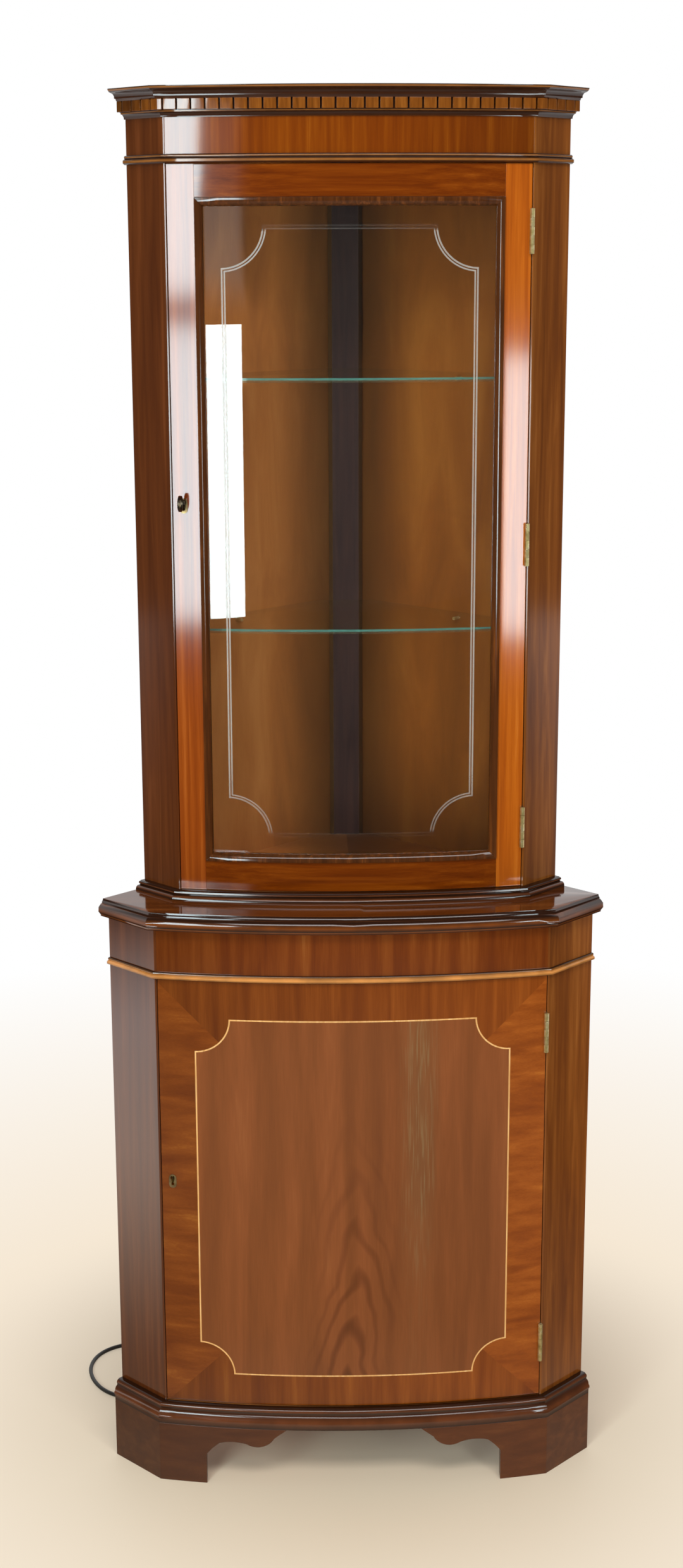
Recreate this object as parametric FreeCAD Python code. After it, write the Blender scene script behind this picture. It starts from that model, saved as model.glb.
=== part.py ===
import FreeCAD, Part
import math
import os

# Bow-fronted corner cabinet in two halves: a glazed display case stands on a cupboard.
# All lengths are millimetres. The shapes are drawn about the room's corner: the two walls are the
# planes y = -|x|, the front faces -Y, and the floor is z = 0. At the end every piece moves along
# +Y, so that the origin is under the middle of the cabinet's bounding box.

ROOT_TWO = math.sqrt(2)
ROUND = True
ARC_CHORD_COUNT = 3
FINE_CHORD_COUNT = 6
ROD_SIDE_COUNT = 10
CORD_SIDE_COUNT = 6

# Plan of the two carcases
LOWER_HALF_WIDTH = 337.0
LOWER_CANT_WIDTH = 93.1
LOWER_BOW_RISE = 28.5
UPPER_HALF_WIDTH = 289.4
UPPER_CANT_WIDTH = 70.8
UPPER_BOW_RISE = 24.7

# Heights of the stages, from the floor up
FOOT_HEIGHT = 90.0
BASE_MOULDING_HEIGHT = 30.0
LOWER_OPENING_HEIGHT = 635.0
LOWER_BEAD_HEIGHT = 11.0
LOWER_FRIEZE_HEIGHT = 63.0
BASE_TOP_HEIGHT = 24.0
SURBASE_HEIGHT = 12.0
UPPER_OPENING_HEIGHT = 965.5
UPPER_BEAD_HEIGHT = 12.5
UPPER_FRIEZE_HEIGHT = 45.0
DENTIL_COVE_HEIGHT = 8.5
DENTIL_HEIGHT = 13.5
CORNICE_HEIGHT = 15.0

# Tops of the stages
UNDERSIDE_Z = FOOT_HEIGHT
BASE_MOULDING_TOP = UNDERSIDE_Z + BASE_MOULDING_HEIGHT
LOWER_DOOR_TOP = BASE_MOULDING_TOP + LOWER_OPENING_HEIGHT
LOWER_BEAD_TOP = LOWER_DOOR_TOP + LOWER_BEAD_HEIGHT
LOWER_FRIEZE_TOP = LOWER_BEAD_TOP + LOWER_FRIEZE_HEIGHT
WAIST_Z = LOWER_FRIEZE_TOP + BASE_TOP_HEIGHT
SURBASE_TOP = WAIST_Z + SURBASE_HEIGHT
UPPER_DOOR_TOP = SURBASE_TOP + UPPER_OPENING_HEIGHT
UPPER_BEAD_TOP = UPPER_DOOR_TOP + UPPER_BEAD_HEIGHT
UPPER_FRIEZE_TOP = UPPER_BEAD_TOP + UPPER_FRIEZE_HEIGHT
DENTIL_BOTTOM = UPPER_FRIEZE_TOP + DENTIL_COVE_HEIGHT
CORNICE_BOTTOM = DENTIL_BOTTOM + DENTIL_HEIGHT
CABINET_TOP = CORNICE_BOTTOM + CORNICE_HEIGHT

# Board thicknesses
LOWER_STILE_THICKNESS = 24.0
UPPER_STILE_THICKNESS = 22.0
BACK_THICKNESS = 8.0
FLOOR_BOARD_THICKNESS = 20.0
TOP_BOARD_THICKNESS = 14.0
WOOD_SHELF_THICKNESS = 18.0
FOOT_THICKNESS = 18.0

# Flattened back corner and the post that closes it
CHAMFER = 30.0
POST_DEPTH = 22.0
POST_FACE_WIDTH = 38.0

# Doors
DOOR_THICKNESS = 20.0
DOOR_GAP = 1.0
DOOR_STOP_GAP = 0.5
LOWER_DOOR_MARGIN = 4.2
LOWER_DOOR_FOOT_GAP = 2.0
UPPER_DOOR_MARGIN = 4.3
UPPER_DOOR_FOOT_GAP = 0.8
DOOR_HEAD_GAP = 0.8
DOOR_STILE_WIDTH = 35.0
DOOR_RAIL_WIDTH = 41.5

# Glazing of the upper door
GLAZING_BEAD_WIDTH = 11.0
GLAZING_BEAD_PROUD = 3.0
GLAZING_BEAD_DEPTH = 8.0
GLASS_THICKNESS = 4.0
GLASS_FIT = 0.3
FILLET_WIDTH = 8.0

# Boxwood line of the lower door
INLAY_SIDE_MARGIN = 49.5
INLAY_FOOT_MARGIN = 47.0
INLAY_HEAD_MARGIN = 53.5
INLAY_CORNER_RADIUS = 47.5
INLAY_WIDTH = 2.0
INLAY_DEPTH = 1.0

# Overhangs of the mouldings beyond the carcase face
CORNICE_OVERHANG = 28.7
DENTIL_OVERHANG = 14.1
DENTIL_BACKING_OVERHANG = 9.0
UPPER_BEAD_OVERHANG = 6.5
SURBASE_OVERHANG = 16.6
BASE_TOP_OVERHANG = 18.4
LOWER_BEAD_OVERHANG = 6.0
BASE_MOULDING_OVERHANG = 16.5
FOOT_OVERHANG = 14.6
BASE_TOP_CORE_INSET = 12.0

# Moulding sections: shares of the overhang and of the height, from the foot of the section up
CORNICE_SHARES = [(0.5, 0.0), (0.55, 0.2), (0.62, 0.2), (0.66, 0.5, ROUND), (0.82, 0.66),
                  (0.95, 0.78, ROUND), (1.0, 0.92), (1.0, 1.0)]
DENTIL_BACKING_SHARES = [(0.25, 0.0), (0.35, 0.16, ROUND), (0.7, 0.28), (0.85, 0.28), (0.85, 0.36),
                         (1.0, 0.36), (1.0, 1.0)]
BEAD_SHARES = [(0.5, 0.0), (1.0, 0.32, ROUND), (0.5, 0.64), (0.45, 0.64), (0.6, 0.8, ROUND), (0.3, 1.0)]
SURBASE_SHARES = [(1.0, 0.0), (1.0, 0.1), (0.93, 0.36, ROUND), (0.66, 0.5), (0.54, 0.5), (0.54, 0.6),
                  (0.66, 0.76, ROUND), (0.48, 0.94), (0.4, 1.0)]
BASE_TOP_SHARES = [(0.76, 0.0), (0.76, 0.08), (1.0, 0.38, ROUND), (0.7, 0.74), (0.62, 0.74), (0.62, 0.82),
                   (0.54, 0.9, ROUND), (0.5, 1.0)]
BASE_MOULDING_SHARES = [(0.88, 0.0), (0.88, 0.2), (1.0, 0.32, ROUND), (0.88, 0.46), (0.8, 0.62, ROUND),
                        (0.62, 0.7), (0.62, 0.76), (0.66, 0.86, ROUND), (0.5, 0.96), (0.4, 1.0)]
GLAZING_BEAD_SHARES = [(0.0, 1.0), (0.62, 0.86, ROUND), (1.0, 0.0)]

# Dentil course
DENTIL_PITCH = 18.4
DENTIL_GAP = 2.4

# Scrolled bracket feet: reaches inwards from the carcase's corner, and shares of the foot's height
FOOT_LEG_REACH = 60.2
FOOT_ARCH_REACH = 97.7
FOOT_DIP_REACH = 139.2
FOOT_SCROLL_REACH = 175.7
FOOT_NOTCH_SHARE = 0.51
FOOT_ARCH_SHARE = 0.755
FOOT_DIP_SHARE = 0.69
REAR_FOOT_WIDTH = 60.0
REAR_FOOT_DEPTH = 45.0

# Glass shelves on brass pegs, and the cupboard's wooden shelf
GLASS_SHELF_SHARES = [0.3708, 0.7188]
GLASS_SHELF_THICKNESS = 6.0
GLASS_SHELF_SETBACK = 46.0
SHELF_CLEARANCE = 1.0
PEG_RADIUS = 2.5
PEG_LENGTH = 12.0
BACK_PEG_SHARE = 0.55
STILE_PEG_SHARE = 0.7
WOOD_SHELF_SHARE = 0.5276
WOOD_SHELF_SETBACK = 60.0

# Butt hinges: their middles as shares of the openings, and one hinge's sizes
UPPER_HINGE_SHARES = [0.088, 0.492, 0.9125]
LOWER_HINGE_SHARES = [0.1323, 0.8709]
HINGE_HEIGHT = 57.0
KNUCKLES = 5
KNUCKLE_GAP = 0.3
KNUCKLE_RADIUS = 3.2
HINGE_PIN_RADIUS = 1.5
HINGE_PIN_FIT = 0.05
BARREL_PROUD = 3.5
LEAF_THICKNESS = 1.5
LEAF_WIDTH = 15.0

# Locks, their keyholes and escutcheons
UPPER_KEYHOLE_MARGIN = 14.0
UPPER_KEYHOLE_SHARE = 0.5531
LOWER_KEYHOLE_MARGIN = 15.0
LOWER_KEYHOLE_SHARE = 0.5414
KEYHOLE_RADIUS = 3.1
KEYHOLE_SLOT_WIDTH = 3.8
KEYHOLE_SLOT_DROP = 11.0
ESCUTCHEON_WIDTH = 10.5
ESCUTCHEON_ABOVE = 5.2
ESCUTCHEON_BELOW = 14.8
ESCUTCHEON_THICKNESS = 1.0
LOCK_FRONT_DEPTH = 8.0
LOCK_PLATE_THICKNESS = 1.2
LOCK_CASE_DEPTH = 11.6
LOCK_CASE_BEFORE = 11.5
LOCK_CASE_AFTER = 13.0
LOCK_CASE_HALF_HEIGHT = 22.0
LOCK_WARD_RADIUS = 10.5
LOCK_WARD_DEPTH = 3.0
BOLT_FIT = 0.2
BOLT_DEPTH = 12.8
BOLT_THICKNESS = 3.0
BOLT_HALF_HEIGHT = 5.0
BOLT_TAIL = 6.0
BOLT_SETBACK = 0.6
BOLT_THROW = 6.5
STRIKE_DEPTH = 9.0

# Key of the upper lock
KEY_SHANK_RADIUS = 2.3
KEY_REACH = 29.0
KEY_BOW_RADIUS = 10.5
KEY_BOW_RIM = 2.8
KEY_BOW_THICKNESS = 3.0
KEY_COLLAR_RADIUS = 3.8
KEY_COLLAR_LENGTH = 2.0
KEY_COLLAR_GAP = 0.6
KEY_BIT_LENGTH = 2.0
KEY_BIT_DROP = 10.0
KEY_BIT_WIDTH = 2.4
KEY_END_GAP = 0.4

# Interior lamp under the top board
LAMP_X = -22.0
LAMP_Y = -150.0
LAMP_BASE_DEPTH = 26.0
LAMP_BASE_HEIGHT = 14.0
LAMP_HOLDER_RADIUS = 13.0
LAMP_HOLDER_LENGTH = 30.0
BULB_RADIUS = 11.0
BULB_LENGTH = 46.0
BULB_NECK_RADIUS = 7.0
BULB_NECK_LENGTH = 10.0

# Lead: fixed down the back by clips, then free
CORD_DIAMETER = 6.0
CORD_SEAT_GAP = 0.2
LEAD_BEND_RADIUS = 24.0
LEAD_SLOT_WIDTH = 9.0
CLIP_WIDTH = 10.0
CLIP_HEIGHT = 8.0
CLIP_WALL = 1.3
CLIP_SHARES = [0.885, 0.731, 0.577, 0.434, 0.291, 0.159, 0.02418]

# Route of the free lead, after it leaves the lowest clip. The places are chosen by hand: down the
# back, along the wall to the left, round in one loose loop and back to a coil behind the cabinet.
CORD_ROUTE = [(0.0, -26.8, 88.0), (-13.0, -23.0, 47.0), (-46.0, -19.0, 14.0), (-92.0, -21.0, 3.0),
              (-146.0, -17.0, 3.0), (-202.0, -21.5, 3.0), (-258.0, -15.0, 3.0), (-310.0, -23.0, 3.0),
              (-360.0, -20.0, 3.0), (-397.0, -46.0, 3.0), (-414.0, -88.0, 3.0), (-404.0, -132.0, 3.0),
              (-380.0, -173.0, 3.0), (-342.0, -194.0, 3.0)]
COIL_CENTRE = (-251.0, -131.0)
COIL_OUTER_RADIUS = 41.0
COIL_PITCH = 6.7
COIL_LAYER_STEP = 6.6
COIL_TURNS_DOWN = 2.0
COIL_TURNS_UP = 1.75
COIL_CLIMB_TURNS = 0.5
STATIONS_PER_TURN = 4
GAP_SAMPLES_PER_TURN = 48
COIL_LEAD = 30.0
TAIL_ROUTE = [(-186.0, -66.0, 8.6), (-148.0, -52.0, 6.85)]
TAIL_END = (-120.0, -54.0, 6.85)

# Moulded two-pin mains plug
PLUG_FACE_WIDTH = 35.3
PLUG_THICKNESS = 13.7
PLUG_LENGTH = 34.0
PLUG_NECK_WIDTH = 13.0
PLUG_SHOULDER_SHARE = 0.45
PLUG_SHOULDER_WIDTH = 29.0
PLUG_PIN_RADIUS = 2.0
PLUG_PIN_LENGTH = 19.0
PLUG_PIN_SPACING = 19.0
RELIEF_LENGTH = 22.0
RELIEF_TIP_RADIUS = 3.8
RELIEF_ROOT_RADIUS = 4.8

# One overrun for every cut
OVERRUN = 5.0


def vec(x, y, z=0.0):
    return FreeCAD.Vector(x, y, z)


class Plan:
    """Plan of one carcase: two canted sides square to the walls, and a bowed front between them."""

    def __init__(self, half_width, cant_width, bow_rise, stile_thickness, door_margin):
        self.half_width = half_width
        self.cant_width = cant_width
        self.stile = stile_thickness
        corner_x = half_width - cant_width / ROOT_TWO
        self.corner_x = corner_x
        self.door_half = corner_x - door_margin
        self.pocket_half = self.door_half + DOOR_GAP
        corner_y = -half_width - cant_width / ROOT_TWO
        self.radius = (corner_x ** 2 + bow_rise ** 2) / (2 * bow_rise)
        self.centre_y = corner_y - bow_rise + self.radius

    def rear(self, overhang):
        """Where a line parallel to the canted side meets the wall."""
        x = self.half_width + overhang / ROOT_TWO
        return x, -x

    def meet(self, side_overhang, bow_overhang):
        """Where a line parallel to the canted side meets an arc parallel to the bow."""
        reach = 2 * self.half_width + side_overhang * ROOT_TWO + self.centre_y
        radius = self.radius + bow_overhang
        x = (reach - math.sqrt(2 * radius ** 2 - reach ** 2)) / 2
        return x, x - reach + self.centre_y

    def front_y(self, x, overhang=0.0):
        return self.centre_y - math.sqrt((self.radius + overhang) ** 2 - x ** 2)

    def lean(self, x):
        """Angle by which the bow's outward normal at x turns away from -Y, in degrees."""
        return math.degrees(math.asin(x / self.radius))


LOWER = Plan(LOWER_HALF_WIDTH, LOWER_CANT_WIDTH, LOWER_BOW_RISE, LOWER_STILE_THICKNESS, LOWER_DOOR_MARGIN)
UPPER = Plan(UPPER_HALF_WIDTH, UPPER_CANT_WIDTH, UPPER_BOW_RISE, UPPER_STILE_THICKNESS, UPPER_DOOR_MARGIN)

POCKET_DEPTH = DOOR_THICKNESS + DOOR_STOP_GAP
UPPER_KEYHOLE_X = UPPER_KEYHOLE_MARGIN - UPPER.door_half
UPPER_KEYHOLE_Z = SURBASE_TOP + UPPER_OPENING_HEIGHT * UPPER_KEYHOLE_SHARE
LOWER_KEYHOLE_X = LOWER_KEYHOLE_MARGIN - LOWER.door_half
LOWER_KEYHOLE_Z = BASE_MOULDING_TOP + LOWER_OPENING_HEIGHT * LOWER_KEYHOLE_SHARE
UPPER_HINGE_MIDDLES = [SURBASE_TOP + UPPER_OPENING_HEIGHT * share for share in UPPER_HINGE_SHARES]
LOWER_HINGE_MIDDLES = [BASE_MOULDING_TOP + LOWER_OPENING_HEIGHT * share for share in LOWER_HINGE_SHARES]
GLASS_SHELF_TOPS = [SURBASE_TOP + UPPER_OPENING_HEIGHT * share for share in GLASS_SHELF_SHARES]
WOOD_SHELF_TOP = BASE_MOULDING_TOP + LOWER_OPENING_HEIGHT * WOOD_SHELF_SHARE
CLIP_HEIGHTS = [UNDERSIDE_Z + (CORNICE_BOTTOM - UNDERSIDE_Z) * share for share in CLIP_SHARES]
LOWER_DOOR_BOTTOM = BASE_MOULDING_TOP + LOWER_DOOR_FOOT_GAP
UPPER_DOOR_BOTTOM = SURBASE_TOP + UPPER_DOOR_FOOT_GAP
CORD_RADIUS = CORD_DIAMETER / 2
CLIP_DEPTH = CORD_SEAT_GAP + CORD_DIAMETER + CLIP_WALL
LEAD_Y = -CHAMFER + CORD_SEAT_GAP + CORD_RADIUS
LEAD_Z = CORNICE_BOTTOM - TOP_BOARD_THICKNESS - CORD_SEAT_GAP - CORD_RADIUS
LEAD_EXIT_Z = CLIP_HEIGHTS[-1] - CLIP_HEIGHT / 2


def prism(points, low, high):
    """Upright solid over a plan outline of straight edges."""
    corners = [vec(x, y, low) for x, y in points]
    wire = Part.makePolygon(corners + corners[:1])
    return Part.Face(wire).extrude(vec(0, 0, high - low))


def outline_face(points, place):
    """Face inside a closed outline; a point marked ROUND is the middle of an arc."""
    edges = []
    count = len(points)
    for index, point in enumerate(points):
        after = points[(index + 1) % count]
        if len(point) == 3:
            continue
        if len(after) == 3:
            end = points[(index + 2) % count]
            edges.append(Part.Arc(place(*point), place(*after[:2]), place(*end)).toShape())
        else:
            edges.append(Part.makeLine(place(*point), place(*after)))
    return Part.Face(Part.Wire(edges))


def upright(points, low, high):
    """Upright solid over a plan outline that may hold arcs."""
    return outline_face(points, lambda x, y: vec(x, y, low)).extrude(vec(0, 0, high - low))


def mirrored(shape):
    return shape.mirror(vec(0, 0), vec(1, 0))


def box(x_range, y_range, z_range):
    size = [high - low for low, high in (x_range, y_range, z_range)]
    return Part.makeBox(*size, vec(x_range[0], y_range[0], z_range[0]))


def across(direction):
    """Rotation that lays a drawing of the X-Y plane square to a direction, its Y as upright as it can be."""
    upward = vec(0, 0, 1) if abs(direction.z) < abs(direction.x) + abs(direction.y) else vec(0, 1, 0)
    return FreeCAD.Rotation(vec(0, 0), upward, direction, "ZYX")


def ring(flat_radius, middle, direction, sides=ROD_SIDE_COUNT):
    """Even polygon square to a direction, its flats at a radius from the middle."""
    reach = flat_radius / math.cos(math.pi / sides)
    turn = across(direction)
    corners = []
    for index in range(sides):
        angle = 2 * math.pi * (index + 1 / 2) / sides
        corners.append(middle + turn.multVec(vec(reach * math.cos(angle), reach * math.sin(angle))))
    return Part.makePolygon(corners + corners[:1])


def bore(radius, length, start, direction):
    """Many-sided hole that clears a round rod of the radius."""
    return Part.Face(ring(radius, start, direction)).extrude(direction * (length / direction.Length))


def rod(radius, length, start, direction):
    """Many-sided rod that fits inside a round hole of the radius."""
    return bore(radius * math.cos(math.pi / ROD_SIDE_COUNT), length, start, direction)


def through(rings):
    """Solid of flat faces through even polygons that share one axis."""
    faces = [Part.Face(rings[0]), Part.Face(rings[-1])]
    for low, high in zip(rings, rings[1:]):
        near = [vertex.Point for vertex in low.OrderedVertexes]
        far = [vertex.Point for vertex in high.OrderedVertexes]
        for index in range(len(near)):
            corners = [near[index - 1], near[index], far[index], far[index - 1]]
            faces.append(Part.Face(Part.makePolygon(corners + corners[:1])))
    shell = Part.Shell(faces)
    shell.sewShape()
    return Part.Solid(shell)


def bowed_board(plan, x_range, back, face, low, high):
    """Board that follows the bow, between two overhangs and two upright edges."""
    left, right = x_range
    middle = (left + right) / 2
    points = [(left, plan.front_y(left, face)), (middle, plan.front_y(middle, face), ROUND),
              (right, plan.front_y(right, face)), (right, plan.front_y(right, back)),
              (middle, plan.front_y(middle, back), ROUND), (left, plan.front_y(left, back))]
    return upright(points, low, high)


def chorded(points, chords=ARC_CHORD_COUNT):
    """Outline with each marked arc replaced by even chords, worked out from its circle."""
    found = []
    for index, point in enumerate(points):
        if len(point) == 2:
            found.append(point)
            continue
        start = points[index - 1]
        end = points[index + 1]
        arc = Part.Arc(vec(*start), vec(*point[:2]), vec(*end))
        for step in range(1, chords):
            at = arc.value(arc.FirstParameter + (arc.LastParameter - arc.FirstParameter) * step / chords)
            found.append((at.x, at.y))
    return found


def section(shares, overhang, low, high, root=0.0):
    """Moulding section as (overhang, height) points, closed along its root."""
    points = [(root, low)]
    for share in shares:
        points.append((share[0] * overhang, low + share[1] * (high - low)) + tuple(share[2:]))
    return chorded(points + [(root, high)])


def cant_side(plan, root, reach, low, high):
    """Block over everything on the right of the mitre between the bow and the canted side."""
    inner = vec(*plan.meet(root, root))
    outer = vec(*plan.meet(reach, reach))
    along = (outer - inner).normalize()
    inner = inner - along * plan.cant_width
    outer = outer + along * plan.cant_width
    back = vec(1, 1).normalize() * (2 * plan.cant_width)
    points = [inner, outer, outer + back, inner + back]
    return prism([(p.x, p.y) for p in points], low - OVERRUN, high + OVERRUN)


def mitred_lengths(plan, points):
    """The three lengths of a moulding: right side, bow and left side, cut at the mitres."""
    overhangs = [point[0] for point in points]
    heights = [point[1] for point in points]
    side = cant_side(plan, min(overhangs), max(overhangs), min(heights), max(heights))

    def at_wall(overhang, z):
        return vec(*plan.rear(overhang), z)

    def at_middle(overhang, z):
        return vec(0, plan.front_y(0, overhang), z)

    forward = vec(-1, -1).normalize() * (plan.cant_width * 2)
    right = outline_face(points, at_wall).extrude(forward).common(side)
    sweep = 2 * math.degrees(math.asin(plan.half_width / plan.radius))
    face = outline_face(points, at_middle)
    face.rotate(vec(0, plan.centre_y), vec(0, 0, 1), -sweep / 2)
    bow = face.revolve(vec(0, plan.centre_y), vec(0, 0, 1), sweep).cut([side, mirrored(side)])
    return [right, bow, mirrored(right)]


def solids_of(shapes):
    """Compound of the separate solids in a list of shapes."""
    found = []
    for shape in shapes:
        found.extend(shape.Solids)
    return Part.makeCompound(found)


def moulding(plan, shares, overhang, low, high):
    return solids_of(mitred_lengths(plan, section(shares, overhang, low, high)))


def in_front(points, plan, low_overhang, high_overhang):
    """Flat front outline pressed onto the bow, between two overhangs."""
    near = plan.front_y(0, high_overhang) - OVERRUN
    far = plan.front_y(plan.pocket_half, low_overhang) + OVERRUN
    solid = outline_face(points, lambda x, z: vec(x, near, z)).extrude(vec(0, far - near, 0))
    box_ = solid.BoundBox
    x_range = (max(box_.XMin - OVERRUN, -plan.half_width), min(box_.XMax + OVERRUN, plan.half_width))
    shell = bowed_board(plan, x_range, low_overhang, high_overhang, box_.ZMin - OVERRUN, box_.ZMax + OVERRUN)
    return solid.common(shell)


def at_keyhole(shape, plan, x, z):
    """Move a shape drawn about a keyhole at the origin, facing -Y, to its place on the bow."""
    placed = shape.copy()
    placed.rotate(vec(0, 0), vec(0, 0, 1), plan.lean(x))
    placed.translate(vec(x, plan.front_y(x), z))
    return placed


def stile(plan, low, high):
    """Right canted stile, rebated for the door and the rails along its front edge."""
    x = plan.pocket_half
    middle_x = (plan.meet(0, 0)[0] + x) / 2
    floor_end = plan.meet(-plan.stile, -POCKET_DEPTH)
    floor_middle = (floor_end[0] + x) / 2
    points = [plan.rear(0), plan.meet(0, 0), (middle_x, plan.front_y(middle_x), ROUND),
              (x, plan.front_y(x)), (x, plan.front_y(x, -POCKET_DEPTH)),
              (floor_middle, plan.front_y(floor_middle, -POCKET_DEPTH), ROUND),
              floor_end, plan.rear(-plan.stile)]
    return upright(points, low, high)


def back_panel(plan, low, high):
    """Right back panel, flat against the wall from the stile to the corner post."""
    inset = BACK_THICKNESS / ROOT_TWO
    edge = plan.rear(-plan.stile)
    points = [edge, (CHAMFER, -CHAMFER), (CHAMFER - inset, -CHAMFER - inset), (edge[0] - inset, edge[1] - inset)]
    return prism(points, low, high)


def corner_post(low, high):
    """Post across the flattened back corner; its front face shows inside the cabinet."""
    inset = BACK_THICKNESS / ROOT_TWO
    half_face = POST_FACE_WIDTH / 2
    right = [(CHAMFER, -CHAMFER), (CHAMFER - inset, -CHAMFER - inset), (half_face, -CHAMFER - POST_DEPTH)]
    return prism(right + [(-x, y) for x, y in reversed(right)], low, high)


def inside_board(plan, setback, clearance, low, high):
    """Board that fills the inside of the carcase behind a bowed front edge."""
    side = plan.stile + clearance
    wall = (BACK_THICKNESS + clearance) * ROOT_TWO
    front = plan.meet(-side, -setback)
    side_line = 2 * plan.half_width - side * ROOT_TWO
    corner = ((side_line - wall) / 2, -(side_line + wall) / 2)
    post_y = -CHAMFER - POST_DEPTH - clearance
    right = [front, corner, (-post_y - wall, post_y)]
    left = [(-x, y) for x, y in reversed(right)]
    return upright(right + left + [(0, plan.front_y(0, -setback), ROUND)], low, high)


def front_rail(plan, low, high):
    """Bowed rail that fills the rebates of both stiles."""
    return bowed_board(plan, (-plan.pocket_half, plan.pocket_half), -POCKET_DEPTH, 0, low, high)


def base_top_board():
    """Full top of the cupboard: a board lipped on three sides with its moulded edge."""
    inset = -BASE_TOP_CORE_INSET
    right = [(CHAMFER, -CHAMFER), LOWER.rear(inset), LOWER.meet(inset, inset)]
    left = [(-x, y) for x, y in reversed(right)]
    outline = right + [(0, LOWER.front_y(0, inset), ROUND)] + left
    core = upright(outline, LOWER_FRIEZE_TOP, WAIST_Z)
    edge = section(BASE_TOP_SHARES, BASE_TOP_OVERHANG, LOWER_FRIEZE_TOP, WAIST_Z, inset)
    return core.fuse(mitred_lengths(LOWER, edge)).removeSplitter()


def dentil_course():
    """Square teeth in a row round the cornice: a planted strip cut through at even gaps."""
    points = [(DENTIL_BACKING_OVERHANG, DENTIL_BOTTOM), (DENTIL_OVERHANG, DENTIL_BOTTOM),
              (DENTIL_OVERHANG, CORNICE_BOTTOM), (DENTIL_BACKING_OVERHANG, CORNICE_BOTTOM)]
    right, bow, left = mitred_lengths(UPPER, points)
    strip = bow.fuse([right, left])
    depth = (DENTIL_BACKING_OVERHANG - OVERRUN, DENTIL_OVERHANG + OVERRUN)
    z_range = (DENTIL_BOTTOM - OVERRUN, CORNICE_BOTTOM + OVERRUN)
    gaps = []
    front_x, front_y = UPPER.meet(DENTIL_OVERHANG, DENTIL_OVERHANG)
    rear_x, rear_y = UPPER.rear(DENTIL_OVERHANG)
    bow_gaps = round(2 * front_x / DENTIL_PITCH)
    cant_gaps = round((rear_x - front_x) * ROOT_TWO / DENTIL_PITCH)
    for index in range(bow_gaps):
        place = (index - (bow_gaps - 1) / 2) * DENTIL_PITCH
        cut = box((-DENTIL_GAP / 2, DENTIL_GAP / 2),
                  (UPPER.front_y(0, depth[1]), UPPER.front_y(0, depth[0])), z_range)
        turn = math.degrees(place / (UPPER.radius + DENTIL_OVERHANG))
        cut.rotate(vec(0, UPPER.centre_y), vec(0, 0, 1), turn)
        gaps.append(cut)
    middle = vec((front_x + rear_x) / 2, (front_y + rear_y) / 2)
    for index in range(cant_gaps):
        place = (index - (cant_gaps - 1) / 2) * DENTIL_PITCH
        cut = box((-DENTIL_GAP / 2, DENTIL_GAP / 2), (-OVERRUN, depth[1] - depth[0]), z_range)
        cut.rotate(vec(0, 0), vec(0, 0, 1), 45)
        cut.translate(middle + vec(1, 1).normalize() * place)
        gaps.extend([cut, mirrored(cut)])
    return solids_of([strip.cut(gaps)])


def scroll_bracket():
    """Left front bracket of the feet: it follows the bow and is cut to a scroll below."""
    corner_x = LOWER.meet(FOOT_OVERHANG, FOOT_OVERHANG)[0] + OVERRUN
    inner_x = FOOT_LEG_REACH - LOWER.corner_x
    arch_x = FOOT_ARCH_REACH - LOWER.corner_x
    dip_x = FOOT_DIP_REACH - LOWER.corner_x
    end_x = FOOT_SCROLL_REACH - LOWER.corner_x
    notch_x = (inner_x + arch_x) / 2
    notch_z = UNDERSIDE_Z * FOOT_NOTCH_SHARE
    arch_z = UNDERSIDE_Z * FOOT_ARCH_SHARE
    dip_z = UNDERSIDE_Z * FOOT_DIP_SHARE
    points = [(-corner_x, 0.0), (inner_x, 0.0), (inner_x, notch_z),
              ((inner_x + notch_x) / 2, (notch_z + arch_z) / 2, ROUND), (notch_x, (arch_z + dip_z) / 2),
              (arch_x, arch_z, ROUND), ((arch_x + dip_x) / 2, (arch_z + dip_z) / 2),
              (dip_x, dip_z, ROUND), ((dip_x + end_x) / 2, (dip_z + UNDERSIDE_Z) / 2),
              (end_x, UNDERSIDE_Z), (-corner_x, UNDERSIDE_Z)]
    curved = in_front(points, LOWER, FOOT_OVERHANG - FOOT_THICKNESS, FOOT_OVERHANG)
    side = cant_side(LOWER, FOOT_OVERHANG - FOOT_THICKNESS, FOOT_OVERHANG, 0, UNDERSIDE_Z)
    return curved.cut(mirrored(side))


def side_bracket():
    """Left canted bracket of the feet, plain and mitred to the scrolled one."""
    inner = FOOT_OVERHANG - FOOT_THICKNESS
    points = [(inner, 0.0), (FOOT_OVERHANG, 0.0), (FOOT_OVERHANG, UNDERSIDE_Z), (inner, UNDERSIDE_Z)]
    return mitred_lengths(LOWER, points)[2]


def rear_foot():
    """Plain block foot under the back corner."""
    front = -CHAMFER - CLIP_DEPTH - REAR_FOOT_DEPTH
    half = REAR_FOOT_WIDTH / 2
    return box((-half, half), (front, -CHAMFER - CLIP_DEPTH), (0, UNDERSIDE_Z))


def line_ring(width_out):
    """Rectangle with re-entrant quarter-round corners, grown outwards by a width."""
    half = LOWER.door_half - INLAY_SIDE_MARGIN
    bottom = BASE_MOULDING_TOP + INLAY_FOOT_MARGIN
    top = LOWER_DOOR_TOP - INLAY_HEAD_MARGIN
    x = half + width_out
    low = bottom - width_out
    high = top + width_out
    radius = INLAY_CORNER_RADIUS - width_out
    reach = radius / ROOT_TWO
    shy = math.sqrt(radius ** 2 - width_out ** 2)
    points = []
    for sx, cz, sz in ((-1, bottom, -1), (1, bottom, -1), (1, top, 1), (-1, top, 1)):
        along = (sx * (half - shy), low if sz < 0 else high)
        beside = (sx * x, cz - sz * shy)
        arc_middle = (sx * (half - reach), cz - sz * reach, ROUND)
        corner = [beside, arc_middle, along]
        if sx != sz:
            corner.reverse()
        points.extend(corner)
    return points


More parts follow.
